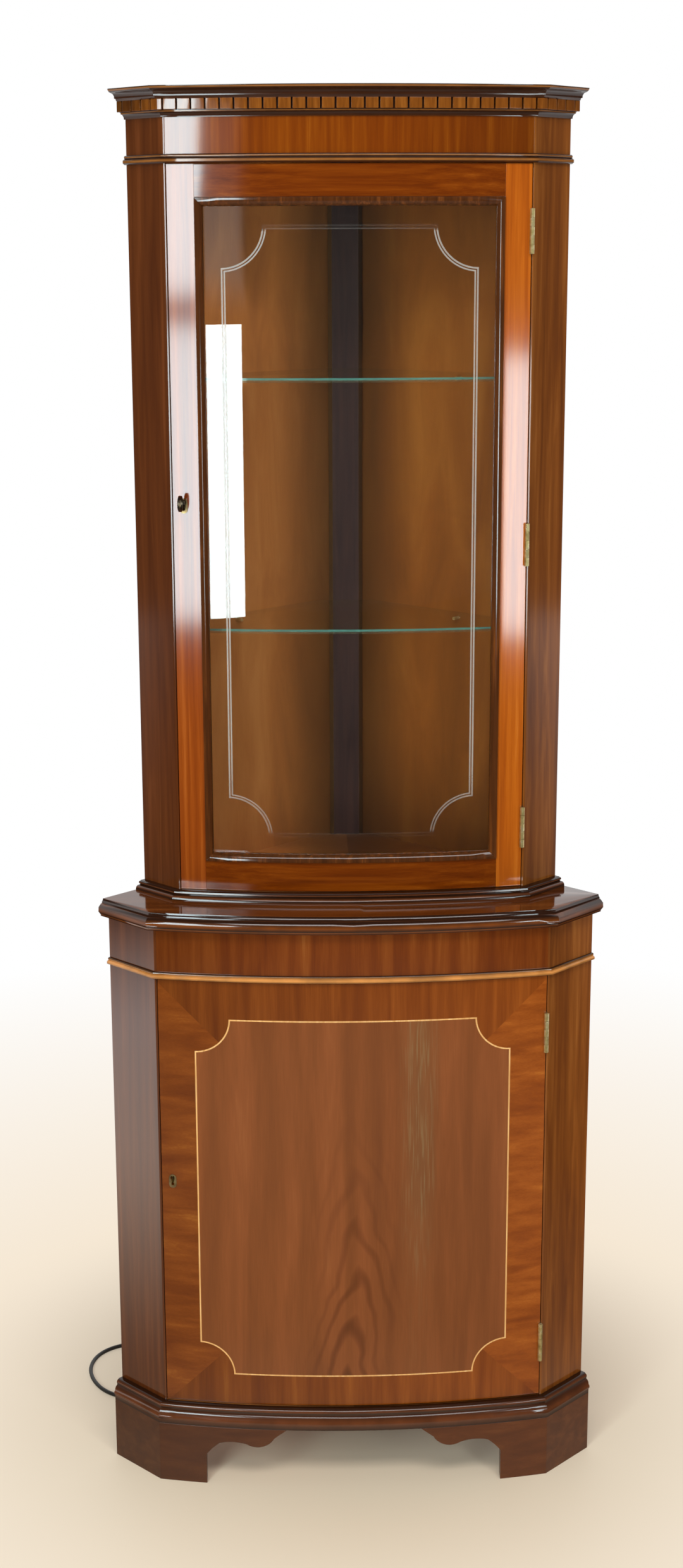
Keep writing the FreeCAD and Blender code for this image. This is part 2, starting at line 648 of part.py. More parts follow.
def inlay_line(extra_depth):
    """Inlaid line of the lower door, or with an overrun the groove that takes it."""
    outer = in_front(line_ring(0.0), LOWER, -INLAY_DEPTH, extra_depth)
    inner = in_front(line_ring(-INLAY_WIDTH), LOWER, -INLAY_DEPTH - OVERRUN, extra_depth + OVERRUN)
    return outer.cut(inner)


def glazing_bead():
    """Moulded bead round the glass, proud of the frame, mitred at its corners."""
    half = UPPER.door_half - DOOR_STILE_WIDTH
    low = UPPER_DOOR_BOTTOM + DOOR_RAIL_WIDTH
    high = UPPER_DOOR_TOP - DOOR_RAIL_WIDTH
    block = bowed_board(UPPER, (-half, half), -GLAZING_BEAD_DEPTH, GLAZING_BEAD_PROUD, low, high)
    inner_half = half - GLAZING_BEAD_WIDTH
    sight = bowed_board(UPPER, (-inner_half, inner_half), -GLAZING_BEAD_DEPTH - OVERRUN,
                        GLAZING_BEAD_PROUD + OVERRUN, low + GLAZING_BEAD_WIDTH, high - GLAZING_BEAD_WIDTH)
    frame = block.cut(sight)
    fall = GLAZING_BEAD_DEPTH / 2 + GLAZING_BEAD_PROUD
    points = section(GLAZING_BEAD_SHARES, GLAZING_BEAD_WIDTH, 0, fall)[1:-1]
    cuts = []
    top_y = UPPER.front_y(0, GLAZING_BEAD_PROUD)
    for z, up in ((low, 1), (high, -1)):
        def at_middle(across, rise, z=z, up=up):
            return vec(0, top_y + fall - rise, z + up * across)
        outline = points + [(GLAZING_BEAD_WIDTH + OVERRUN, 0.0), (GLAZING_BEAD_WIDTH + OVERRUN, fall + OVERRUN),
                            (0.0, fall + OVERRUN)]
        face = outline_face(outline, at_middle)
        sweep = 2 * UPPER.lean(half)
        face.rotate(vec(0, UPPER.centre_y), vec(0, 0, 1), -sweep / 2)
        cut = face.revolve(vec(0, UPPER.centre_y), vec(0, 0, 1), sweep)
        cuts.append(cut.common(glazing_mitre(half, z, up)))
    for side in (1, -1):
        edge_y = UPPER.front_y(half, GLAZING_BEAD_PROUD)
        def at_edge(across, rise, side=side, edge_y=edge_y):
            return vec(side * (half - across), edge_y + fall - rise, low)
        outline = points + [(GLAZING_BEAD_WIDTH + OVERRUN, 0.0), (GLAZING_BEAD_WIDTH + OVERRUN, fall + OVERRUN),
                            (0.0, fall + OVERRUN)]
        cut = outline_face(outline, at_edge).extrude(vec(0, 0, high - low))
        cuts.append(cut.cut([glazing_mitre(half, low, 1), glazing_mitre(half, high, -1)]))
    return frame.cut(cuts)


def glazing_mitre(half, z, up):
    """Block over the top or bottom stretch of the glazing bead, with its ends at 45 degrees."""
    reach = GLAZING_BEAD_WIDTH + OVERRUN
    near = UPPER.front_y(0, GLAZING_BEAD_PROUD + 2 * OVERRUN)
    far = UPPER.front_y(half, -GLAZING_BEAD_DEPTH - OVERRUN)
    corners = [(-half - OVERRUN, z - up * OVERRUN), (half + OVERRUN, z - up * OVERRUN),
               (half - reach, z + up * reach), (-half + reach, z + up * reach)]
    wire = Part.makePolygon([vec(x, near, h) for x, h in corners + corners[:1]])
    return Part.Face(wire).extrude(vec(0, far - near, 0))


def ring_board(plan, half, low, high, width, back, face):
    """Bowed frame of one width round an opening."""
    outer = bowed_board(plan, (-half, half), back, face, low, high)
    hole = bowed_board(plan, (width - half, half - width), back - OVERRUN, face + OVERRUN, low + width, high - width)
    return outer.cut(hole)


def leaf_section(axis, face_y, side, with_knuckle):
    """Plan of a hinge leaf: its plate alone, or with the knuckle that it curls into round the pin."""
    near_x = axis.x + side * DOOR_GAP / 2
    far_x = near_x + side * LEAF_THICKNESS
    back_y = face_y + LEAF_WIDTH
    if not with_knuckle:
        return Part.Face(Part.makePolygon([vec(near_x, face_y), vec(far_x, face_y), vec(far_x, back_y),
                                           vec(near_x, back_y), vec(near_x, face_y)]))
    near_y = axis.y + math.sqrt(KNUCKLE_RADIUS ** 2 - (DOOR_GAP / 2) ** 2)
    far_y = axis.y + math.sqrt(KNUCKLE_RADIUS ** 2 - (DOOR_GAP / 2 + LEAF_THICKNESS) ** 2)
    points = [(far_x, back_y), (near_x, back_y), (near_x, near_y), (axis.x, axis.y - KNUCKLE_RADIUS, ROUND),
              (far_x, far_y)]
    plate = outline_face(chorded(points, FINE_CHORD_COUNT), vec)
    return plate.cut(Part.Face(ring(HINGE_PIN_RADIUS + HINGE_PIN_FIT, axis, vec(0, 0, 1))))


def hinge(plan, middle):
    """One butt hinge at the right of a door: frame leaf, door leaf and pin."""
    axis_x = plan.door_half + DOOR_GAP / 2
    face_y = plan.front_y(axis_x)
    axis = vec(axis_x, face_y - BARREL_PROUD)
    low = middle - HINGE_HEIGHT / 2
    pitch = HINGE_HEIGHT / KNUCKLES
    leaves = []
    for side, own in ((1, 0), (-1, 1)):
        slices = []
        for index in range(KNUCKLES):
            start = low + index * pitch
            stop = start + pitch
            if index % 2 == own:
                start += KNUCKLE_GAP / 2 if index else 0
                stop -= KNUCKLE_GAP / 2 if index < KNUCKLES - 1 else 0
            else:
                start -= KNUCKLE_GAP / 2 if index else 0
                stop += KNUCKLE_GAP / 2 if index < KNUCKLES - 1 else 0
            plan_face = leaf_section(axis, face_y, side, index % 2 == own)
            plan_face.translate(vec(0, 0, start))
            slices.append(plan_face.extrude(vec(0, 0, stop - start)))
        leaves.append(slices[0].fuse(slices[1:]).removeSplitter())
    pin = Part.makeCylinder(HINGE_PIN_RADIUS, HINGE_HEIGHT, axis + vec(0, 0, low))
    return leaves[0], leaves[1], pin


def leaf_mortises(plan, middles, side):
    """Recesses for the hinge leaves: side 1 in the stile's rebate, side -1 in the door's edge."""
    face_y = plan.front_y(plan.door_half + DOOR_GAP / 2)
    near_x = plan.door_half + (DOOR_GAP if side > 0 else 0)
    x_range = sorted((near_x - side * DOOR_GAP / 2, near_x + side * LEAF_THICKNESS))
    cuts = []
    for middle in middles:
        z_range = (middle - HINGE_HEIGHT / 2, middle + HINGE_HEIGHT / 2)
        cuts.append(box(x_range, (face_y - OVERRUN, face_y + LEAF_WIDTH), z_range))
    return cuts


def keyhole_cut(depth):
    """Round hole with a slot below it, drawn at the origin and facing -Y."""
    hole = bore(KEYHOLE_RADIUS, depth + OVERRUN, vec(0, -OVERRUN, 0), vec(0, 1, 0))
    slot = box((-KEYHOLE_SLOT_WIDTH / 2, KEYHOLE_SLOT_WIDTH / 2), (-OVERRUN, depth), (-KEYHOLE_SLOT_DROP, 0))
    return hole.fuse(slot)


def escutcheon(plan, x, z):
    """Oval brass plate, pressed to the bow and pierced by the keyhole."""
    half = ESCUTCHEON_WIDTH / 2
    top = z + ESCUTCHEON_ABOVE - half
    bottom = z - ESCUTCHEON_BELOW + half
    points = [(x - half, bottom), (x, bottom - half, ROUND), (x + half, bottom), (x + half, top),
              (x, top + half, ROUND), (x - half, top)]
    plate = in_front(chorded(points, FINE_CHORD_COUNT), plan, 0, ESCUTCHEON_THICKNESS)
    return plate.cut(at_keyhole(keyhole_cut(OVERRUN), plan, x, z))


def edge_reach(plan, x, depth):
    """Distance from a keyhole to the door's edge, along the lock's own axis at a depth."""
    lean = math.radians(plan.lean(x))
    return (-plan.door_half - x + depth * math.sin(lean)) / math.cos(lean)


def lock(plan, x, z):
    """Cut lock let into the back of the door: case, bolt, and the cuts that they need."""
    half = LOCK_CASE_HALF_HEIGHT
    bolt_end = edge_reach(plan, x, BOLT_DEPTH + BOLT_THICKNESS) + BOLT_SETBACK
    y_range = (BOLT_DEPTH, BOLT_DEPTH + BOLT_THICKNESS)
    z_range = (-BOLT_HALF_HEIGHT, BOLT_HALF_HEIGHT)
    bolt = box((bolt_end, BOLT_TAIL), y_range, z_range)
    loose_y = (y_range[0] - BOLT_FIT, y_range[1] + BOLT_FIT)
    loose_z = (z_range[0] - BOLT_FIT, z_range[1] + BOLT_FIT)
    channel = box((bolt_end - STRIKE_DEPTH, BOLT_TAIL + BOLT_FIT), loose_y, loose_z)
    back = LOCK_FRONT_DEPTH + LOCK_CASE_DEPTH
    block = box((-LOCK_CASE_BEFORE, LOCK_CASE_AFTER), (LOCK_FRONT_DEPTH, back), (-half, half))
    recess = box((-LOCK_CASE_BEFORE, LOCK_CASE_AFTER), (LOCK_FRONT_DEPTH, back + OVERRUN), (-half, half))
    ward = bore(LOCK_WARD_RADIUS, LOCK_WARD_DEPTH, vec(0, LOCK_FRONT_DEPTH + LOCK_PLATE_THICKNESS, 0), vec(0, 1, 0))
    ward = ward.common(box((-LOCK_CASE_BEFORE, LOCK_CASE_AFTER), (0, back), (-half, half)))
    case = block.cut([channel, ward, keyhole_cut(LOCK_FRONT_DEPTH + LOCK_PLATE_THICKNESS)])
    cuts = [recess, channel, keyhole_cut(LOCK_FRONT_DEPTH)]
    return [at_keyhole(shape, plan, x, z) for shape in (case, bolt)], \
           [at_keyhole(shape, plan, x, z) for shape in cuts]


def key():
    """Key standing in the upper lock: bit, shank, two collars and a ring bow."""
    end = LOCK_FRONT_DEPTH + LOCK_PLATE_THICKNESS + LOCK_WARD_DEPTH - KEY_END_GAP
    bow_middle = -KEY_REACH + KEY_BOW_RADIUS
    shank_start = bow_middle + KEY_BOW_RADIUS - KEY_BOW_RIM / 2
    shank = Part.makeCylinder(KEY_SHANK_RADIUS, end - shank_start, vec(0, shank_start, 0), vec(0, 1, 0))
    bit = box((-KEY_BIT_WIDTH / 2, KEY_BIT_WIDTH / 2), (end - KEY_BIT_LENGTH, end), (-KEY_BIT_DROP, 0))
    pieces = [bit]
    collar_end = -ESCUTCHEON_THICKNESS - KEY_COLLAR_GAP
    for y in (collar_end - KEY_COLLAR_LENGTH, bow_middle + KEY_BOW_RADIUS):
        pieces.append(rod(KEY_COLLAR_RADIUS, KEY_COLLAR_LENGTH, vec(0, y, 0), vec(0, 1, 0)))
    bow_place = vec(-KEY_BOW_THICKNESS / 2, bow_middle, 0)
    sweep = vec(KEY_BOW_THICKNESS, 0)
    disc = Part.Face(ring(KEY_BOW_RADIUS, bow_place, sweep, 2 * ROD_SIDE_COUNT)).extrude(sweep)
    hole = Part.Face(ring(KEY_BOW_RADIUS - KEY_BOW_RIM, bow_place, sweep, 2 * ROD_SIDE_COUNT)).extrude(sweep)
    key_body = shank.fuse([disc] + pieces).cut(hole)
    return at_keyhole(key_body, UPPER, UPPER_KEYHOLE_X, UPPER_KEYHOLE_Z)


def shelf_pegs():
    """Four brass pegs under each glass shelf: one on each back panel and each stile."""
    pegs = []
    inset = BACK_THICKNESS / ROOT_TWO
    edge = UPPER.rear(-UPPER.stile)
    wall_x = CHAMFER + (edge[0] - CHAMFER) * BACK_PEG_SHARE
    front = UPPER.meet(-UPPER.stile, -GLASS_SHELF_SETBACK)
    stile_x = edge[0] + (front[0] - edge[0]) * STILE_PEG_SHARE
    stile_y = edge[1] + (front[1] - edge[1]) * STILE_PEG_SHARE
    for top in GLASS_SHELF_TOPS:
        z = top - GLASS_SHELF_THICKNESS - PEG_RADIUS
        places = [(vec(wall_x - inset, -wall_x - inset, z), vec(-1, -1)), (vec(stile_x, stile_y, z), vec(-1, 1))]
        for place, inward in places:
            peg = rod(PEG_RADIUS, PEG_LENGTH, place, inward)
            pegs.extend([peg, mirrored(peg)])
    return solids_of(pegs)


def lamp_holder():
    """Batten lampholder: a base under the top board and a barrel that lies along X."""
    top = CORNICE_BOTTOM - TOP_BOARD_THICKNESS
    base = box((LAMP_X, LAMP_X + LAMP_HOLDER_LENGTH),
               (LAMP_Y - LAMP_BASE_DEPTH / 2, LAMP_Y + LAMP_BASE_DEPTH / 2), (top - LAMP_BASE_HEIGHT, top))
    middle = vec(LAMP_X, LAMP_Y, top - LAMP_BASE_HEIGHT - LAMP_HOLDER_RADIUS / 2)
    barrel = rod(LAMP_HOLDER_RADIUS, LAMP_HOLDER_LENGTH, middle, vec(1, 0, 0))
    mouth = middle + vec(LAMP_HOLDER_LENGTH - BULB_NECK_LENGTH, 0, 0)
    socket = bore(BULB_NECK_RADIUS + GLASS_FIT, BULB_NECK_LENGTH, mouth, vec(1, 0, 0))
    return base.fuse(barrel).cut(socket).removeSplitter()


def lamp_bulb():
    """Small tubular bulb, its neck in the holder's socket."""
    start = LAMP_X + LAMP_HOLDER_LENGTH - BULB_NECK_LENGTH
    z = CORNICE_BOTTOM - TOP_BOARD_THICKNESS - LAMP_BASE_HEIGHT - LAMP_HOLDER_RADIUS / 2
    shoulder = start + BULB_NECK_LENGTH + BULB_RADIUS - BULB_NECK_RADIUS
    far = start + BULB_LENGTH
    points = [(start, BULB_NECK_RADIUS), (start + BULB_NECK_LENGTH, BULB_NECK_RADIUS),
              (shoulder, BULB_RADIUS), (far - BULB_RADIUS, BULB_RADIUS),
              (far - BULB_RADIUS + BULB_RADIUS / ROOT_TWO, BULB_RADIUS / ROOT_TWO, ROUND), (far, 0.0)]
    rings = [ring(radius, vec(along, LAMP_Y, z), vec(1, 0)) for along, radius in chorded(points)[:-1]]
    return through(rings)


def tube(path, start, direction):
    """Lead of many sides swept along a path; prints its volume over its section times its length."""
    rim = ring(CORD_RADIUS * math.cos(math.pi / CORD_SIDE_COUNT), start, direction, CORD_SIDE_COUNT)
    solid = path.makePipeShell([rim], True, False)
    expected = Part.Face(rim).Area * path.Length
    print("tube length %.1f volume share %.4f" % (path.Length, abs(solid.Volume) / expected))
    return solid


def rounded_path(points):
    """Straight runs joined by tangent arcs as large as the runs allow; prints the radii."""
    vectors = [vec(*point) for point in points]
    edges = []
    radii = []
    at = vectors[0]
    for before, corner, after in zip(vectors, vectors[1:], vectors[2:]):
        come = (corner - before).normalize()
        leave = (after - corner).normalize()
        half_turn = come.getAngle(leave) / 2
        tangent = 0.45 * min((corner - before).Length, (after - corner).Length)
        radii.append(tangent / math.tan(half_turn))
        first = corner - come * tangent
        last = corner + leave * tangent
        inward = (leave - come).normalize()
        bulge = radii[-1] * (1 / math.cos(half_turn) - 1)
        edges.append(Part.LineSegment(at, first).toShape())
        edges.append(Part.Arc(first, corner + inward * bulge, last).toShape())
        at = last
    edges.append(Part.LineSegment(at, vectors[-1]).toShape())
    print("radii", [round(radius, 1) for radius in radii])
    return Part.Wire(edges)


def coil_point(turn):
    """Centre line of the coil after a number of turns: in, up one layer, and out again."""
    climb_end = COIL_TURNS_DOWN + COIL_CLIMB_TURNS
    low = CORD_RADIUS
    if turn <= COIL_TURNS_DOWN:
        radius = COIL_OUTER_RADIUS - COIL_PITCH * turn
        z = low
    elif turn <= climb_end:
        past = turn - COIL_TURNS_DOWN
        radius = COIL_OUTER_RADIUS - COIL_PITCH * (COIL_TURNS_DOWN + past - past ** 2 / COIL_CLIMB_TURNS)
        z = low + COIL_LAYER_STEP * (1 - math.cos(math.pi * past / COIL_CLIMB_TURNS)) / 2
    else:
        radius = COIL_OUTER_RADIUS - COIL_PITCH * (COIL_TURNS_DOWN - (turn - climb_end))
        z = low + COIL_LAYER_STEP
    angle = 2 * math.pi * (turn - 1 / 4)
    return vec(COIL_CENTRE[0] + radius * math.cos(angle), COIL_CENTRE[1] + radius * math.sin(angle), z)


def coil_tangent(turn):
    step = 1 / GAP_SAMPLES_PER_TURN ** 2
    return (coil_point(turn + step) - coil_point(turn - step)).normalize()


def tangent_arc(start, control, end):
    """Arc from start to end whose end tangents meet at the control point."""
    chord_middle = (start + end) * 0.5
    half_chord = (end - start).Length / 2
    height = (control - chord_middle).Length
    side = (control - start).Length
    sagitta = half_chord * (side - half_chord) / height
    return Part.Arc(start, chord_middle + (control - chord_middle) * (sagitta / height), end).toShape()


def biarc(start, leave, end, arrive):
    """Two arcs that join two points and keep both directions."""
    chord = end - start
    both = leave + arrive
    a = 2 * (1 - leave.dot(arrive))
    b = 2 * chord.dot(both)
    c = -chord.dot(chord)
    reach = (-b + math.sqrt(b * b - 4 * a * c)) / (2 * a)
    first = start + leave * reach
    last = end - arrive * reach
    middle = (first + last) * 0.5
    return [tangent_arc(start, first, middle), tangent_arc(middle, last, end)]


def coil_ends():
    """Where the coil's straight ends start and stop, one cord diameter out along the tangents."""
    total = COIL_TURNS_DOWN + COIL_CLIMB_TURNS + COIL_TURNS_UP
    start = coil_point(0) - coil_tangent(0) * CORD_DIAMETER
    stop = coil_point(total) + coil_tangent(total) * CORD_DIAMETER
    return start, stop, total


def cord_coil():
    """Put-away length of the lead, wound in two layers from one unbroken tube."""
    start, stop, total = coil_ends()
    edges = [Part.LineSegment(start, coil_point(0)).toShape()]
    count = round(total * STATIONS_PER_TURN)
    turns = [total * index / count for index in range(count + 1)]
    for first, last in zip(turns, turns[1:]):
        edges.extend(biarc(coil_point(first), coil_tangent(first), coil_point(last), coil_tangent(last)))
    edges.append(Part.LineSegment(coil_point(total), stop).toShape())
    samples = [coil_point(i / GAP_SAMPLES_PER_TURN) for i in range(int(total * GAP_SAMPLES_PER_TURN) + 1)]
    apart = GAP_SAMPLES_PER_TURN // 3
    nearest = min((samples[i] - samples[j]).Length
                  for i in range(len(samples)) for j in range(i + apart, len(samples)))
    print("coil least self-gap %.2f" % (nearest - CORD_DIAMETER))
    return tube(Part.Wire(edges), start, coil_tangent(0))


def cord_run():
    """Free lead from the lowest clip to the coil."""
    start = (0.0, LEAD_Y, LEAD_EXIT_Z)
    end = coil_ends()[0]
    before = end - coil_tangent(0) * COIL_LEAD
    path = rounded_path([start] + CORD_ROUTE + [tuple(before), tuple(end)])
    return tube(path, vec(*start), vec(0, 0, -1))


def cord_tail():
    """Short end of the lead from the coil to the plug."""
    _, start, total = coil_ends()
    after = start + coil_tangent(total) * COIL_LEAD
    path = rounded_path([tuple(start), tuple(after)] + TAIL_ROUTE + [TAIL_END])
    return tube(path, start, coil_tangent(total))


def lamp_lead():
    """Fixed lead: back from the lamp under the top board, through the post and down behind it."""
    start_y = LAMP_Y + LAMP_BASE_DEPTH / 2
    bend_y = LEAD_Y - LEAD_BEND_RADIUS
    drop_z = LEAD_Z - LEAD_BEND_RADIUS
    middle = vec(0, bend_y + LEAD_BEND_RADIUS / ROOT_TWO, drop_z + LEAD_BEND_RADIUS / ROOT_TWO)
    edges = [Part.LineSegment(vec(0, start_y, LEAD_Z), vec(0, bend_y, LEAD_Z)).toShape(),
             Part.Arc(vec(0, bend_y, LEAD_Z), middle, vec(0, LEAD_Y, drop_z)).toShape(),
             Part.LineSegment(vec(0, LEAD_Y, drop_z), vec(0, LEAD_Y, LEAD_EXIT_Z)).toShape()]
    return tube(Part.Wire(edges), vec(0, start_y, LEAD_Z), vec(0, 1, 0))


def cable_clips():
    """Saddle clips that hold the lead to the flattened corner."""
    clips = []
    for middle in CLIP_HEIGHTS:
        z_range = (middle - CLIP_HEIGHT / 2, middle + CLIP_HEIGHT / 2)
        block = box((-CLIP_WIDTH / 2, CLIP_WIDTH / 2), (-CHAMFER, -CHAMFER + CLIP_DEPTH), z_range)
        inner = CORD_RADIUS + CORD_SEAT_GAP
        channel = box((-inner, inner), (-CHAMFER - OVERRUN, LEAD_Y + inner), (z_range[0] - OVERRUN, z_range[1] + OVERRUN))
        clips.append(block.cut(channel))
    return solids_of(clips)


def plug_body(end):
    """Flat body of the plug: a block with its rear shoulders and its long edges cut away."""
    half_y = PLUG_FACE_WIDTH / 2
    half_z = PLUG_THICKNESS / 2
    bevel = PLUG_THICKNESS / 4
    neck_y = PLUG_NECK_WIDTH / 2
    shoulder = RELIEF_LENGTH + PLUG_LENGTH * PLUG_SHOULDER_SHARE
    outline = [(RELIEF_LENGTH, -neck_y), (end, -half_y), (end, half_y), (RELIEF_LENGTH, neck_y)]
    outline = [outline[0], (shoulder, -PLUG_SHOULDER_WIDTH / 2)] + outline[1:3] + \
              [(shoulder, PLUG_SHOULDER_WIDTH / 2), outline[3]]
    body = prism(outline, -half_z, half_z)
    sides = [(half_y, half_z - bevel), (half_y - bevel, half_z), (bevel - half_y, half_z), (-half_y, half_z - bevel)]
    sides += [(-y, -z) for y, z in sides]
    corners = [vec(RELIEF_LENGTH, y, z) for y, z in sides]
    return body.common(Part.Face(Part.makePolygon(corners + corners[:1])).extrude(vec(PLUG_LENGTH, 0, 0)))


def mains_plug():
    """Moulded plug with a tapered strain relief and two round pins, lying flat on the floor."""
    end = RELIEF_LENGTH + PLUG_LENGTH
    relief_ends = [ring(RELIEF_TIP_RADIUS, vec(0, 0), vec(1, 0)),
                   ring(RELIEF_ROOT_RADIUS, vec(RELIEF_LENGTH, 0), vec(1, 0))]
    relief = through(relief_ends)
    body = plug_body(end)
    pins = []
    for side in (1, -1):
        base = vec(end, side * PLUG_PIN_SPACING / 2, 0)
        pins.append(rod(PLUG_PIN_RADIUS, PLUG_PIN_LENGTH, base, vec(1, 0, 0)))
    plug = body.fuse([relief] + pins)
    before = vec(*TAIL_ROUTE[-1])
    end_point = vec(*TAIL_END)
    along = end_point - before
    plug.rotate(vec(0, 0), vec(0, 0, 1), math.degrees(math.atan2(along.y, along.x)))
    plug.translate(end_point)
    return plug


def lower_half():
    """Cupboard pieces that belong to the fixed carcase."""
    pieces = {}
    pieces["foot_front_left"] = scroll_bracket()
    pieces["foot_front_right"] = mirrored(pieces["foot_front_left"])
    pieces["foot_side_left"] = side_bracket()
    pieces["foot_side_right"] = mirrored(pieces["foot_side_left"])
    pieces["rear_foot"] = rear_foot()
    pieces["base_moulding"] = moulding(LOWER, BASE_MOULDING_SHARES, BASE_MOULDING_OVERHANG,
                                       UNDERSIDE_Z, BASE_MOULDING_TOP)
    (_, _), cuts = lock(LOWER, LOWER_KEYHOLE_X, LOWER_KEYHOLE_Z)
    right = stile(LOWER, UNDERSIDE_Z, LOWER_FRIEZE_TOP)
    pieces["lower_stile_left"] = mirrored(right).cut(cuts[1])
    pieces["lower_stile_right"] = right.cut(leaf_mortises(LOWER, LOWER_HINGE_MIDDLES, 1))
    panel = back_panel(LOWER, UNDERSIDE_Z, LOWER_FRIEZE_TOP)
    pieces["lower_back_right"] = panel
    pieces["lower_back_left"] = mirrored(panel)
    pieces["lower_post"] = corner_post(UNDERSIDE_Z, LOWER_FRIEZE_TOP)
    floor_low = BASE_MOULDING_TOP - FLOOR_BOARD_THICKNESS
    inside = inside_board(LOWER, POCKET_DEPTH, 0, floor_low, BASE_MOULDING_TOP)
    pieces["lower_bottom_board"] = inside.fuse(front_rail(LOWER, UNDERSIDE_Z, BASE_MOULDING_TOP)).removeSplitter()
    shelf_low = WOOD_SHELF_TOP - WOOD_SHELF_THICKNESS
    pieces["lower_shelf"] = inside_board(LOWER, WOOD_SHELF_SETBACK, 0, shelf_low, WOOD_SHELF_TOP)
    pieces["lower_frieze"] = front_rail(LOWER, LOWER_DOOR_TOP + DOOR_HEAD_GAP, LOWER_FRIEZE_TOP)
    pieces["lower_bead"] = moulding(LOWER, BEAD_SHARES, LOWER_BEAD_OVERHANG,
                                    LOWER_DOOR_TOP + DOOR_HEAD_GAP, LOWER_BEAD_TOP)
    pieces["base_top_board"] = base_top_board()
    return pieces


def upper_half():
    """Display case pieces that belong to the fixed carcase."""
    pieces = {}
    pieces["surbase_moulding"] = moulding(UPPER, SURBASE_SHARES, SURBASE_OVERHANG, WAIST_Z, SURBASE_TOP)
    (_, _), cuts = lock(UPPER, UPPER_KEYHOLE_X, UPPER_KEYHOLE_Z)
    right = stile(UPPER, WAIST_Z, CABINET_TOP)
    pieces["upper_stile_left"] = mirrored(right).cut(cuts[1])
    pieces["upper_stile_right"] = right.cut(leaf_mortises(UPPER, UPPER_HINGE_MIDDLES, 1))
    panel = back_panel(UPPER, WAIST_Z, CABINET_TOP)
    pieces["upper_back_right"] = panel
    pieces["upper_back_left"] = mirrored(panel)
    slot_low = LEAD_Z - LEAD_BEND_RADIUS - CORD_DIAMETER
    slot_top = CORNICE_BOTTOM - TOP_BOARD_THICKNESS
    slot = box((-LEAD_SLOT_WIDTH / 2, LEAD_SLOT_WIDTH / 2),
               (-CHAMFER - POST_DEPTH - OVERRUN, -CHAMFER + OVERRUN), (slot_low, slot_top))
    pieces["upper_post"] = corner_post(WAIST_Z, CABINET_TOP).cut(slot)
    inside = inside_board(UPPER, POCKET_DEPTH, 0, WAIST_Z, SURBASE_TOP)
    pieces["upper_bottom_board"] = inside.fuse(front_rail(UPPER, WAIST_Z, SURBASE_TOP)).removeSplitter()
    top_low = CORNICE_BOTTOM - TOP_BOARD_THICKNESS
    pieces["upper_top_board"] = inside_board(UPPER, POCKET_DEPTH, 0, top_low, CORNICE_BOTTOM)
    frieze_low = UPPER_DOOR_TOP + DOOR_HEAD_GAP
    pieces["upper_frieze"] = front_rail(UPPER, frieze_low, CABINET_TOP)
    pieces["upper_bead"] = moulding(UPPER, BEAD_SHARES, UPPER_BEAD_OVERHANG, frieze_low, UPPER_BEAD_TOP)
    pieces["dentil_moulding"] = moulding(UPPER, DENTIL_BACKING_SHARES, DENTIL_BACKING_OVERHANG,
                                         UPPER_FRIEZE_TOP, CORNICE_BOTTOM)
    pieces["dentils"] = dentil_course()
    pieces["cornice_moulding"] = moulding(UPPER, CORNICE_SHARES, CORNICE_OVERHANG, CORNICE_BOTTOM, CABINET_TOP)
    for place, top in zip(("lower", "upper"), GLASS_SHELF_TOPS):
        pieces["glass_shelf_" + place] = inside_board(UPPER, GLASS_SHELF_SETBACK, SHELF_CLEARANCE,
                                                      top - GLASS_SHELF_THICKNESS, top)
    pieces["shelf_pegs"] = shelf_pegs()
    pieces["lamp_holder"] = lamp_holder()
    pieces["lamp_bulb"] = lamp_bulb()
    pieces["lamp_lead"] = lamp_lead()
    pieces["cable_clips"] = cable_clips()
    return pieces


def upper_door():
    """Glazed door: two stiles, two rails, bead, pane, fillets, lock and key."""
    pieces = {}
    half = UPPER.door_half
    inner = half - DOOR_STILE_WIDTH
    low = UPPER_DOOR_BOTTOM
    high = UPPER_DOOR_TOP
    (case, bolt), cuts = lock(UPPER, UPPER_KEYHOLE_X, UPPER_KEYHOLE_Z)
    left = bowed_board(UPPER, (-half, -inner), -DOOR_THICKNESS, 0, low, high)
    pieces["door_stile_left"] = left.cut(cuts)
    right = bowed_board(UPPER, (inner, half), -DOOR_THICKNESS, 0, low, high)
    pieces["door_stile_right"] = right.cut(leaf_mortises(UPPER, UPPER_HINGE_MIDDLES, -1))
    pieces["door_rail_bottom"] = bowed_board(UPPER, (-inner, inner), -DOOR_THICKNESS, 0, low, low + DOOR_RAIL_WIDTH)
    pieces["door_rail_top"] = bowed_board(UPPER, (-inner, inner), -DOOR_THICKNESS, 0, high - DOOR_RAIL_WIDTH, high)
    pieces["glazing_bead"] = glazing_bead()
    glass_face = -GLAZING_BEAD_DEPTH
    glass_back = glass_face - GLASS_THICKNESS
    glass_half = inner - GLASS_FIT
    glass_low = low + DOOR_RAIL_WIDTH
    glass_high = high - DOOR_RAIL_WIDTH
    pieces["glass_pane"] = bowed_board(UPPER, (-glass_half, glass_half), glass_back, glass_face,
                                       glass_low + GLASS_FIT, glass_high - GLASS_FIT)
    pieces["glass_fillets"] = ring_board(UPPER, inner, glass_low, glass_high, FILLET_WIDTH, -DOOR_THICKNESS, glass_back)
    pieces["upper_escutcheon"] = escutcheon(UPPER, UPPER_KEYHOLE_X, UPPER_KEYHOLE_Z)
    pieces["upper_lock_case"] = case
    pieces["upper_lock_bolt"] = bolt
    pieces["upper_key"] = key()
    return pieces


